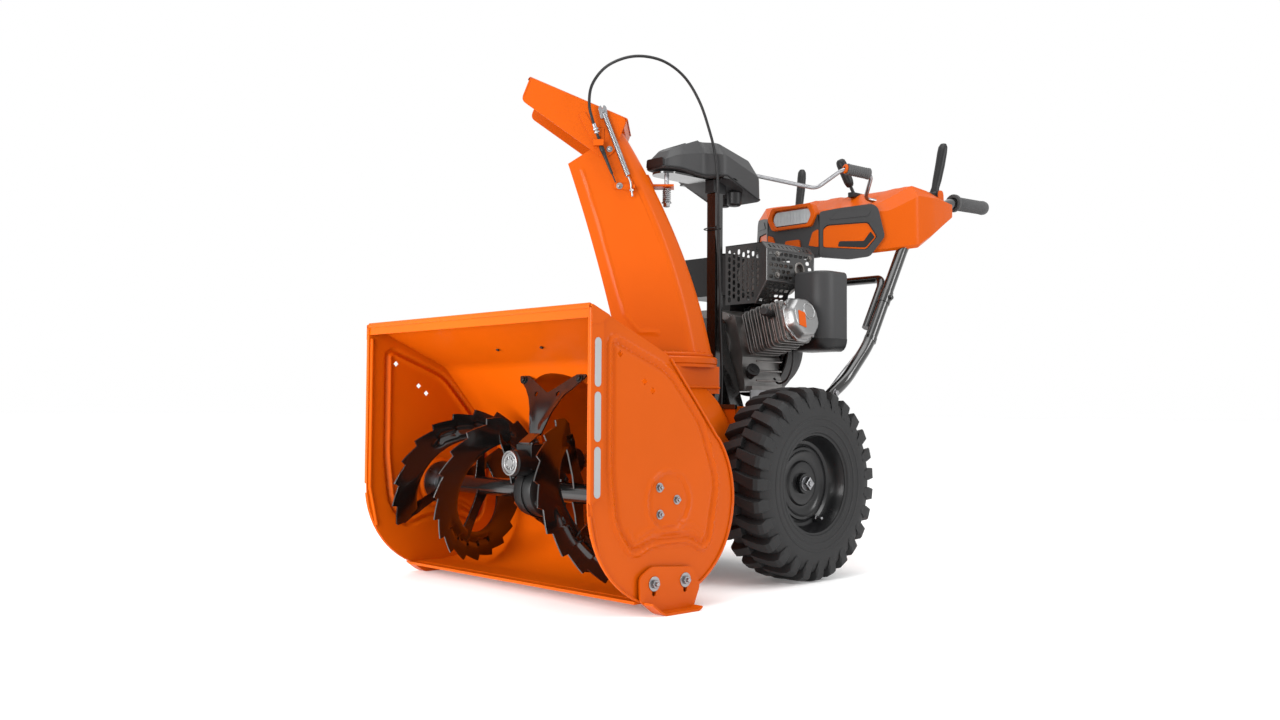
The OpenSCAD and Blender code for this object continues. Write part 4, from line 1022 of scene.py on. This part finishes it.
BAR_X = 217
BAR = [(191.5, 650, 358), (198, 668, 388), (217, 705, 424), (217, 795, 510), (217, 947, 766),
       (217, 1100, 868), (217, 1161, 890), (217, 1312, 896)]


def build_bars():
    """Two bent tubes with their clips and bolts, and the brace between them."""
    path = rounded(BAR, 34, 6, closed=False)
    for sign, name in SIDES:
        bar = Shape().tube([(sign * x, y, z) for x, y, z in path], 14.0, 28)
        bar.piece(f"handlebar_{name}", BLACK, "chassis", [f"handlebar_{name}"], angle=60)
        clip = Shape().tube([(sign * BAR_X, 855, 611), (sign * BAR_X, 872, 640)], 15.6, 24)
        clip.bolt((sign * 232, 863, 625), (sign, 0, 0), 6, 5, washer=8)
        clip.tube([(sign * BAR_X, 800, 518), (sign * BAR_X, 806, 528)], 15.2, 24)
        clip.piece(f"bar_clip_{name}", BLACK, "chassis", bevel=0.6)
        hardware = Shape()
        for z in (372, 396):
            hardware.bolt((sign * 214, 674, z), (sign, 0, 0), 7, 5, washer=10)
        hardware.piece(f"bar_bolts_{name}", ZINC, "chassis", bevel=0.4)
    brace = [(193, 820, 552), (193, 883, 658), (183, 893, 675), (-183, 893, 675), (-193, 883, 658),
             (-193, 820, 552)]
    cross = Shape().tube(rounded(brace, 22, 6, closed=False), 10.0, 24)
    cross.piece("cross_brace", BLACK, "chassis", ["cross_brace"], angle=60)


def build_grips():
    """Flanged grips with ring grooves on the bars' ends."""
    profile = [(0, 14.4), (0, 21), (2, 23), (7, 23), (9, 21), (11, 18.2)]
    for k in range(22):
        a = 16 + k * 5.4
        profile += [(a, 17.6), (a + 1.2, 16.4), (a + 2.7, 16.4), (a + 3.9, 17.6)]
    profile += [(137, 18), (143, 18.6), (149, 17.8), (153, 14), (154, 8), (154, 0.01), (151, 0.01),
                (151, 14.4)]
    for sign, name in SIDES:
        grip = Shape().lathe((sign * BAR_X, 1164, 890.2), (0, 151, 5.8), profile, 40, close=True)
        grip.piece(f"hand_grip_{name}", GRIP, "chassis", ["hand_grips"], bevel=0.3, angle=40)


def build_paddles():
    """Hand paddles: a bowed blade on a round hub, in front of each grip."""
    for sign, name in SIDES:
        a, b = Vector((sign * BAR_X, 1075, 898)), Vector((sign * 226, 1106, 1028))
        side, rings = Vector(X), []
        across = (b - a).cross(side).normalized()
        for t, wide, deep in ((0, 10, 9), (0.08, 11.5, 10.5), (0.16, 9.5, 10), (0.3, 11, 11.5),
                              (0.6, 12, 12), (0.86, 12.6, 11.4), (0.97, 12, 9.6), (1.03, 8, 5.4)):
            centre = a + (b - a) * t + across * (3 * sin(pi * t))
            rings.append([centre + side * (wide * c) + across * (deep * s) for c, s in spokes(24)])
        pad = Shape().skin(rings)
        hub = [(0, 0), (0, 10), (2, 11), (22, 11), (24, 10), (24, 0)]
        pad.lathe((sign * BAR_X - 12, 1075, 898), X, hub, 32)
        pad.piece(f"hand_paddle_{name}", DARK, f"paddle_{name}", [f"paddle_{name}"], bevel=0.5)


CRANK_A, CRANK_B = Vector((0, 590, 917)), Vector((150, 905, 873))


def crank_place(v):
    """Crank's own frame, +Z along its axis and +X the way its handle leans."""
    d = unit(CRANK_B - CRANK_A)
    turn = Matrix.Rotation(atan2(d.y, d.x), 3, "Z") @ Matrix.Rotation(acos(d.z), 3, "Y")
    turn = turn @ Matrix.Rotation(radians(180 + 41), 3, "Z")
    return place(CRANK_A + turn @ Vector(v))


def build_crank():
    rod = Shape()
    route = [(0, 0, -53), (0, 0, 200), (66, 0, 246), (66, 0, 322), (0, 0, 334), (0, 0, 362)]
    rod.tube(rounded(route, 16, 6, closed=False), 4.8, 16)
    rod.lathe((0, 0, -66), Z, [(0, 0), (0, 8), (18, 8), (20, 6.4), (34, 6.4), (35, 4.8)], 24)
    rod.bolt((6, 0, -56), X, 4, 3)
    rod.piece("crank_rod", ZINC, "crank", ["chute_crank"], angle=40, at=crank_place)
    profile = [(0, 5), (0, 12.5), (1.5, 14), (4, 14)]
    for k in range(9):
        a = 6 + 5.6 * k
        profile += [(a, 13.6), (a + 1.4, 12.2), (a + 2.8, 12.2), (a + 4.2, 13.6)]
    profile += [(57, 14), (60, 14), (62, 12), (62, 5)]
    grip = Shape().lathe((66, 0, 253), Z, profile, 36)
    grip.piece("crank_grip", GRIP, "crank", ["chute_crank"], bevel=0.3, at=crank_place)
    hoop = [(0, 5.2), (0, 10), (1, 11.2), (5, 11.2), (6, 10), (6, 5.2)]
    band = Shape().lathe((66, 0, 246.5), Z, hoop, 32)
    band.piece("crank_grip_band", ORANGE, "crank", bevel=0.3, at=crank_place)


def build_speed_lever():
    lever = Shape()
    pivot = Vector((70, 965, 862))
    lever.tube([pivot, pivot + Vector((0, -8, 24)), pivot + Vector((-16, -26, 78))], 4.2, 14)
    lever.lathe(pivot - Vector((8, 0, 0)), X, disc(16, 8), 24)
    a, b = pivot + Vector((-12, -20, 62)), pivot + Vector((-30, -42, 132))
    knob = [(0, 0), (0, 7), (5, 10), (14, 12), (34, 12.6), (44, 13), (46, 12.2), (48, 13), (62, 13),
            (70, 11.4), (74, 7), (75, 0)]
    lever.lathe(a, b - a, knob, 32)
    lever.piece("speed_lever", DARK, "speed_lever", ["speed_lever"], angle=40)


build_bars()
build_grips()
build_paddles()
build_crank()
build_speed_lever()

# ---------------------------------------------------------------- engine

CRANK_X, CRANK_Z, HEAD_Y = -30.0, 505.0, 588.0
LEAN = radians(14.8)


def bore_place(v):
    """Cylinder's own frame, +X out along the leaning cylinder from the crankshaft."""
    x, y, z = v
    c, s = cos(LEAN), sin(LEAN)
    return place((CRANK_X + c * x - s * z, HEAD_Y + y, CRANK_Z + s * x + c * z))


def build_cylinder():
    """Finned barrel and head with their studs, and the spark plug's boot."""
    block = Shape().lathe((92, 0, 0), X, disc(80, 40), 40)
    for count, start, pitch, thick, halves, corner in ((9, 96, 8.6, 2.6, (50, 52), 13),
                                                       (5, 171, 7.6, 3.0, (45, 48), 10)):
        for k in range(count):
            x, half = start + pitch * k, halves[k % 2]
            fin = [(-half, -half), (half, -half), (half, half), (-half, half)]
            block.prism(soft(fin, corner, 4), x, x + thick)
    block.box((166, -40, -40), (207, 40, 40))
    for y in (-34, 34):
        for z in (-34, 34):
            block.lathe((92, y, z), X, disc(114, 8), 14)
    block.piece("cylinder_block", CAST, "chassis", ["cylinder_block"], bevel=0.5, at=bore_place)
    boot = [(0, 0), (0, 9), (8, 9), (8, 7), (22, 7), (26, 10), (40, 10), (42, 8), (42, 0)]
    plug = Shape().lathe((176, -42, 20), (0.25, -1, 0.1), boot, 20)
    plug.piece("spark_plug_boot", DARK, "chassis", bevel=0.4, at=bore_place)


def build_valve_cover():
    """Eight-sided cover with a raised ring, four bolts and a plain plate."""
    def octagon(x, r, corner=7):
        return rounded([(x, r * c, r * s) for c, s in spokes(8, 22.5)], corner, 3)
    cover = Shape().skin([octagon(208, 54), octagon(214, 54), octagon(215, 51), octagon(222, 49),
                          octagon(233, 46), octagon(237, 42), octagon(238, 38, 6)])
    cover.lathe((237.5, 12, 13), X, [(0, 19), (0, 20.5), (2, 19.6), (2.6, 18), (2, 16.2), (0, 15)],
                56, close=True)
    for c, s in spokes(4, 45):
        cover.bolt((213, 50.5 * c, 50.5 * s), X, 5.4, 4.5)
    cover.piece("valve_cover", SILVER, "chassis", ["valve_cover"], bevel=0.8, segments=3,
                at=bore_place)
    plate = soft([(-33, -22), (-11, -28), (-5, 8), (-27, 13)], 2.5, 3)
    badge = Shape().slab(plate, [], 238.0, 239.4, yz)
    badge.piece("valve_cover_plate", ORANGE, "chassis", bevel=0.4, at=bore_place)


def guard_panel(shape, corner_a, corner_b, y0, y1, pattern):
    """Flat perforated panel between two corners of the guard's section."""
    a, run = Vector(corner_a), Vector(corner_b) - Vector(corner_a)
    length = run.length
    run.normalize()

    def at(u, v, t):
        return (a.x + run.x * u + run.y * t, v, a.y + run.y * u - run.x * t)
    shape.slab([(0, y0), (length, y0), (length, y1), (0, y1)], pattern(length), -1.6, 0, at)


def build_guard():
    """Perforated guard of flat panels over the muffler, and the outlet in it."""
    guard = Shape()
    y0, y1 = 548.0, 718.0

    def side_holes(length):
        holes = []
        rows = int(length // 14)
        for i in range(rows):
            u = (i + 0.7) * length / (rows + 0.4)
            for k in range(9):
                v = y0 + 14 + 17.6 * k + (8.8 if i % 2 else 0)
                if v < y1 - 10 and not (length > 60 and hypot(u - 32, v - 664) < 30):
                    holes.append(slot_hole(u, v, 3.0, 4.3, 90))
        if length > 60:
            holes.append(circle(32, 664, 18, 28))
        return holes

    def top_slots(length):
        half = max(length / 2 - 8, 1)
        return [slot_hole(length / 2, y0 + 18 + 15 * k, half, 3.2) for k in range(10)]

    def roof_slots(length):
        return [slot_hole(u, y0 + 18 + 15 * k, 19, 3.2) for k in range(10) for u in (26, 84)
                if u + 24 < length]
    face = [(-8, 600), (84, 600), (118, 650), (118, 722), (104, 738), (-8, 738)]
    for a, b, pattern in zip(face[1:], face[2:], (side_holes, side_holes, top_slots, roof_slots)):
        guard_panel(guard, a, b, y0, y1, pattern)
    holes = []
    for i in range(8):
        for k in range(8):
            x, z = 4 + 14.4 * i, 612 + 15.6 * k + (7.8 if i % 2 else 0)
            if x + 8 < 112 and z < 728 and z - 612 > (x - 78) * 1.47:
                holes.append(slot_hole(x, z, 2.2, 4.2, 90))
    guard.slab(face, holes, y0, y0 + 1.6, xz)
    for path in (face[2:0:-1], face[3:1:-1], face[4:2:-1]):
        guard.tube([(x - 0.8, y0 + 0.8, z) for x, z in path], 1.8, 8)
    guard.tube([(x - 0.8, y1 - 1, z) for x, z in face[1:]], 1.9, 8)
    for x, z in face[1:5]:
        guard.tube([(x - 1, y0, z), (x - 1, y1, z)], 1.7, 8)
    guard.piece("muffler_guard", GUARD, "chassis", ["muffler_guard"], angle=40)
    pipe = [(0, 13), (0, 18), (9, 18), (10, 17), (10, 13)]
    outlet = Shape().lathe((110, 664, 682), (1, 0, 0.06), pipe, 36, close=True)
    for y, z in ((584, 712), (700, 712), (584, 664)):
        outlet.bolt((117.6, y, z), X, 5, 4, washer=7)
    outlet.piece("muffler_outlet", MUFFLER, "chassis", bevel=0.4)


def build_heater_box():
    """Carburettor's heater box: a plan with one round corner, domed on top, over a dark lip."""
    box = Shape()

    def plan(inset, x0=118):
        pts = [(x0 + inset, 646 + inset), (166, 646 + inset)]
        pts += [(x, y) for x, y in arc(166, 686, 40 - inset, -90, 0, 14)][1:]
        pts += [(206 - inset, 728), (198 - inset, 736 - inset), (x0 + inset, 736 - inset)]
        return pts
    box.skin([[(*p, z) for p in plan(inset)] for z, inset in
              ((520, 0), (666, 0), (672, 2), (675, 6), (676, 11))])
    box.prism([(92, 650), (120, 650), (120, 736), (92, 736)], 512, 597, xy)
    box.piece("heater_box", GREY, "chassis", ["heater_box"], bevel=1.0, angle=30)
    lip = Shape().skin([[(*p, z) for p in plan(inset, 92)] for z, inset in
                        ((492, 16), (496, 8), (503, 3), (512, 0), (521, -0.8))])
    lip.piece("heater_box_lip", DARK, "chassis", ["heater_box"], bevel=1)


def build_engine_trim():
    """Cables, hoses, brackets and casting ribs that fill out the engine."""
    ribs = Shape()
    for k in range(5):
        z = 424 + 22 * k
        ribs.tube([(84, 552, z), (84, 640, z)], 2.2, 8)
    for y in (548, 600, 650):
        ribs.lathe((-84, y, 410), Z, [(0, 0), (0, 9), (12, 9), (13, 6), (13, 0)], 16)
    for x, z in ((-70, 430), (-70, 566), (20, 430), (18, 570), (-98, 500), (-30, 424)):
        ribs.bolt((x, 532.2, z), (0, -1, 0), 6, 5, washer=8.5)
    collar = [(0, 26), (0, 44), (3, 44), (4, 41), (4, 26)]
    ribs.lathe((-30, 533, 505), (0, -1, 0), collar, 48, close=True)
    ribs.piece("crankcase_bosses", CAST, "chassis", bevel=0.6)
    hose = [(88, 640, 560), (118, 634, 520), (128, 628, 470), (116, 624, 430), (92, 622, 418),
            (74, 626, 430)]
    loop = Shape().tube(spline(hose), 2.4, 10)
    hose = [(-6, 716, 590), (40, 712, 596), (84, 704, 580), (96, 690, 560)]
    loop.tube(spline(hose), 3.2, 10)
    loop.piece("engine_hoses", DARK, "chassis")
    lever = Shape()
    lever.box((60, 640, 590), (118, 650, 594))
    lever.box((86, 630, 574), (98, 656, 602))
    lever.bolt((92, 629, 588), (0, -1, 0), 6, 5, washer=9)
    lever.piece("throttle_bracket", ORANGE, "chassis", bevel=0.6)
    dip = Shape()
    a, b, c = Vector((58, 556, 436)), Vector((76, 548, 446)), Vector((82, 545.3, 449.3))
    dip.lathe(a, b - a, disc(21, 12), 28)
    knob = [(0, 0), (0, 15), (1.2, 16), (6, 16), (7.2, 14.6), (7.4, 9), (9.5, 8.4), (9.5, 0)]
    dip.lathe(b, c - b, knob, 12)
    dip.piece("oil_plug", DARK, "chassis", ["oil_plug"], bevel=0.6)
    lip = Shape().box((-178, 374, 358), (178, 382, 368))
    lip.piece("frame_lip", BLACK, "chassis", bevel=1.0)
    recoil = Shape()
    for c, s in spokes(30):
        recoil.tube([(CRANK_X + r * c, 748.4, CRANK_Z + r * s) for r in (36, 82)], 1.6, 6)
    recoil.lathe((-30, 747, 505), Y, disc(3, 34, 28), 40, close=True)
    for c, s in spokes(4, 45):
        recoil.bolt((CRANK_X + 100 * c, 706, CRANK_Z + 100 * s), Y, 5, 4, washer=8)
    recoil.piece("recoil_grille", DARK, "chassis", bevel=0.3)


build_cylinder()
build_valve_cover()
build_guard()
build_heater_box()
build_engine_trim()

# ---------------------------------------------------------------- head cover, console


def height_at(line, y):
    """Height of a broken line of (y, z) points at y."""
    return float(np.interp(y, *zip(*line)))


def build_head_cover():
    """Angular hood over the chute's pinion: a plan outline lifted through four levels."""
    plan = [(-30, 310), (30, 310), (38, 345), (42, 425), (74, 452), (74, 575), (60, 586),
            (-50, 586), (-64, 575), (-64, 452), (-42, 425), (-38, 345)]
    ridge = [(309, 912), (345, 934), (420, 962), (520, 948), (572, 925), (584, 900)]

    def floor(y):
        return 884 if y < 400 else (878 if y < 505 else 838)
    outline = rounded(plan, 12, 4)
    cx, cy = 2, 462
    rings = []
    for level, inset in ((0.0, 0.0), (0.12, 0.0), (0.62, 1.0), (1.0, 24)):
        ring = []
        for p in outline:
            to = Vector((cx - p.x, (cy - p.y) * 0.4))
            q = p + to.normalized() * min(inset, to.length * 0.9)
            low = floor(p.y)
            ring.append((q.x, q.y, low + (height_at(ridge, q.y) - low) * level))
        rings.append(ring)
    cover = Shape().skin(rings)
    cover.piece("head_cover", GREY, "chassis", ["head_cover"], bevel=1.6, angle=13, segments=3)
    seam = Shape().tube([(*p, floor(p.y) + 3.5) for p in outline], 2.2, 8, loop=True)
    for x in (-34, 44):
        seam.bolt((x, 586.5, 884), Y, 6, 4, washer=9)
    # Dark plate on the front face: painted shade, standing in for the shade inside its recess.
    seam.slab(soft([(-27, 888), (27, 888), (25, 907), (-25, 907)], 4, 3), [], 307.2, 311, xz)
    seam.piece("head_cover_seam", DARK, "chassis", bevel=0.4)
    under = Shape()
    under.lathe((44, 520, 822), Z, [(0, 0), (0, 12), (4, 16), (30, 17), (34, 14), (34, 0)], 24)
    under.lathe((-12, 548, 830), Z, [(0, 0), (0, 10), (4, 13), (22, 13), (24, 0)], 24)
    under.box((16, 452, 846), (44, 492, 878))
    under.piece("head_cover_bosses", DARK, "chassis", bevel=1.2)


CONSOLE_HALF = [(79, 796), (206, 900), (252, 950), (258, 1010), (254, 1107), (196, 1118)]
CONSOLE_ROOF = [(796, 845), (900, 862), (955, 905), (1040, 896), (1118, 876)]
CONSOLE_FLOOR = [(796, 760), (880, 738), (960, 752), (1118, 850)]


def build_console():
    """Bow-fronted shell: rings of the plan outline, drawn in and faceted towards the top."""
    plan = CONSOLE_HALF + [(-x, y) for x, y in CONSOLE_HALF[::-1]]
    outline = []
    corner = rounded(plan, 10, 3)
    for a, b in zip(corner, corner[1:] + corner[:1]):
        n = max(1, int((b - a).length // 26))
        outline += [a.lerp(b, k / n) for k in range(n)]

    def ring(level, inset):
        pts = []
        for p in outline:
            to = Vector((-p.x, 1000 - p.y))
            q = p + to.normalized() * min(inset, to.length * 0.8)
            low, high = height_at(CONSOLE_FLOOR, q.y), height_at(CONSOLE_ROOF, q.y)
            pts.append((q.x, q.y, low + (high - low) * level))
        return pts
    rings = [ring(0.0, 8), ring(0.06, 0), ring(0.82, 0)]
    rings += [ring(1.0, inset) for inset in (22, 40, 66, 100, 140, 190)]
    shell = Shape().skin(rings)
    shell.piece("console_shell", ORANGE, "chassis", ["console_shell"], bevel=1.2, angle=16,
                segments=3)
    ears = Shape()
    ear = soft([(1062, 866), (1088, 866), (1086, 900), (1082, 908), (1068, 908), (1064, 900)], 4, 3)
    for x in (196, 236, -238, -198):
        ears.slab(ear, [], x, x + 3, yz)
    ears.piece("paddle_ears", ORANGE, "chassis", ["console_shell"], bevel=0.6)
    dash = Shape()
    for x in (-96, -54, 54, 96):
        dash.lathe((x, 1012, 897), (0, 0.1, 1), [(0, 0), (0, 12), (3, 12), (4, 10), (4, 0)], 28)
    dash.box((62, 928, 894), (78, 1000, 906.5))
    dash.piece("dash_fittings", DARK, "chassis", bevel=0.8)


def face_frame(sign):
    """Slanted front face: run along it, its outward normal and its inner end."""
    a = Vector((sign * 79, 796, 0))
    run = (Vector((sign * 206, 900, 0)) - a).normalized()
    out = Vector((run.y * sign, -run.x * sign, 0))
    return a, run, out


def build_panels():
    """Side panels in their bezels, and the headlight on the console's nose."""
    for sign, name in SIDES:
        a, run, out = face_frame(sign)

        def at(u, z, t):
            p = a + run * u + out * t
            return (p.x, p.y, z)
        bezel = Shape()
        outer = [(-4, 728), (67, 722), (117, 729), (152, 776), (136, 846), (122, 856), (40, 846),
                 (-4, 838)]
        inner = [(4, 750), (108, 744), (134, 776), (112, 812), (14, 806), (4, 796)]
        bezel.slab(soft(outer, 8, 4), [soft(inner, 6, 4)], -2, 9.6, at)
        back = [(0, 732), (114, 733), (146, 776), (132, 842), (0, 834)]
        bezel.slab(soft(back, 6, 3), [], -2, 4.0, at)
        bezel.slab(soft([(20, 818), (112, 826), (120, 842), (40, 838)], 4, 3), [], 9, 11.5, at)
        bezel.piece(f"console_bezel_{name}", GREY, "chassis", ["console_panels"], bevel=1.6,
                    segments=3)
        face = [(5, 752), (107, 746), (132, 776), (111, 810), (15, 804), (5, 795)]
        plate = Shape().slab(soft(face, 6, 4), [], 3.6, 6.6, at)
        plate.piece(f"console_plate_{name}", ORANGE, "chassis", ["console_panels"], bevel=0.8)
        inset = [(40, 753), (106, 750), (128, 775), (118, 789), (102, 766), (44, 766)]
        band = Shape().slab(soft(inset, 3, 3), [], 6.2, 7.6, at)
        band.piece(f"console_inset_{name}", DARK, "chassis", bevel=0.6)

    def front(x, z, t):
        """Onto the console's nose, t out from it."""
        return (x, 796 - t, z)
    hexa = [(-76, 833), (-60, 804), (60, 804), (76, 833), (62, 862), (-62, 862)]
    inner = [(-62, 833), (-50, 812), (50, 812), (62, 833), (52, 853), (-52, 853)]
    lamp = Shape().slab(soft(hexa, 7, 4), [soft(inner, 6, 4)], -3, 19.0, front)
    lamp.piece("headlight_frame", ORANGE, "chassis", ["headlight"], bevel=2.0, segments=3)
    lower = [(-79, 728), (79, 728), (80, 808), (72, 842), (-72, 842), (-80, 808)]
    body = Shape().slab(soft(lower, 8, 4), [], -3, 9.5, front)
    body.piece("headlight_body", GREY, "chassis", ["headlight"], bevel=2.0, segments=3)
    block = [(-26, 746), (26, 746), (22, 776), (-22, 776)]
    block = Shape().slab(soft(block, 5, 3), [], 9, 13, front)
    for x in (-1, 1):
        wing = [(x * 79, 752), (x * 79, 796), (x * 62, 790), (x * 50, 758)][::x]
        block.slab(soft(wing, 4, 3), [], 9, 12, front)
    block.piece("headlight_badge", ORANGE, "chassis", bevel=1.0)
    glass = [(-54, 815), (54, 815), (60, 833), (51, 850), (-51, 850), (-60, 833)]
    lens = Shape().slab(soft(glass, 8, 4), [], 8, 14.0, front)
    for x in range(-45, 46, 10):
        rib = [(x - 0.7, 818), (x + 0.7, 818), (x + 0.7, 847), (x - 0.7, 847)]
        lens.slab(rib, [], 13.6, 14.6, front)
    lens.piece("headlight_lens", LENS, "chassis", ["headlight"], bevel=1.5, segments=3)


build_head_cover()
build_console()
build_panels()

# ---------------------------------------------------------------- floor, lights, camera


FLOOR_HALF = 60.0  # metres


def build_stage():
    """Wide pale floor, lifted a little so that it fades into the background."""
    mesh = bpy.data.meshes.new("floor")
    corners = [(x * FLOOR_HALF, y * FLOOR_HALF, 0) for x, y in ((-1, -1), (1, -1), (1, 1), (-1, 1))]
    mesh.from_pydata(corners, [], [(0, 1, 2, 3)])
    floor = bpy.data.objects.new("floor", mesh)
    bpy.context.scene.collection.objects.link(floor)
    pale = material("pale_floor", (0.90, 0.90, 0.90), 0.75, mottle=0.01, bump=0.02, specular=0.1)
    lift = pale.node_tree.nodes["Principled BSDF"]
    lift.inputs["Emission Color"].default_value = (1, 1, 1, 1)
    lift.inputs["Emission Strength"].default_value = 0.12
    mesh.materials.append(pale)


def area_light(name, place_m, target, power, size, spread=180):
    """Soft light in row metres, turned towards its target."""
    data = bpy.data.lights.new(name, "AREA")
    data.energy = power
    data.shape = "RECTANGLE"
    data.size, data.size_y = size
    data.spread = radians(spread)
    lamp = bpy.data.objects.new(name, data)
    lamp.location = place_m
    lamp.rotation_euler = (Vector(target) - Vector(place_m)).to_track_quat("-Z", "Y").to_euler()
    bpy.context.scene.collection.objects.link(lamp)


def build_lights():
    """White surroundings, a light above and two beside, and a narrow one for the mouth."""
    world = bpy.data.worlds.new("studio")
    bpy.context.scene.world = world
    world.use_nodes = True
    back = world.node_tree.nodes["Background"]
    back.inputs["Color"].default_value = (1, 1, 1, 1)
    back.inputs["Strength"].default_value = 1.0
    area_light("top", (0.4, -0.2, 3.2), (0, 0, 0.3), 45, (2.2, 2.2))
    area_light("left_side", (3.2, 0.9, 1.9), (0, 0, 0.5), 37, (0.9, 1.6))
    area_light("front", (0.5, -3.3, 1.0), (0, -0.4, 0.35), 56, (1.0, 1.2))
    area_light("mouth", (-0.25, -1.75, 0.34), (-0.02, -0.4, 0.3), 4, (0.6, 0.4), spread=80)
    bpy.context.scene.view_settings.view_transform = "Standard"


def build_camera():
    """Low viewpoint off the machine's front left corner, tipped a little."""
    azimuth, roll = radians(46.4353), radians(0.3684)
    back = unit((0.7239, -0.6885, -0.0432))
    right = Vector((cos(azimuth), sin(azimuth), 0))
    up = back.cross(right)
    cam_x = right * cos(roll) + up * sin(roll)
    cam_y = up * cos(roll) - right * sin(roll)
    data = bpy.data.cameras.new("camera")
    data.lens, data.sensor_width = 32.75, 36.0
    data.clip_end = 200
    camera = bpy.data.objects.new("camera", data)
    spin = Matrix((cam_x, cam_y, back)).transposed().to_4x4()
    camera.matrix_world = Matrix.Translation((1.8161, -2.0244, 0.3541)) @ spin
    bpy.context.scene.collection.objects.link(camera)
    bpy.context.scene.camera = camera


build_stage()
build_lights()
build_camera()
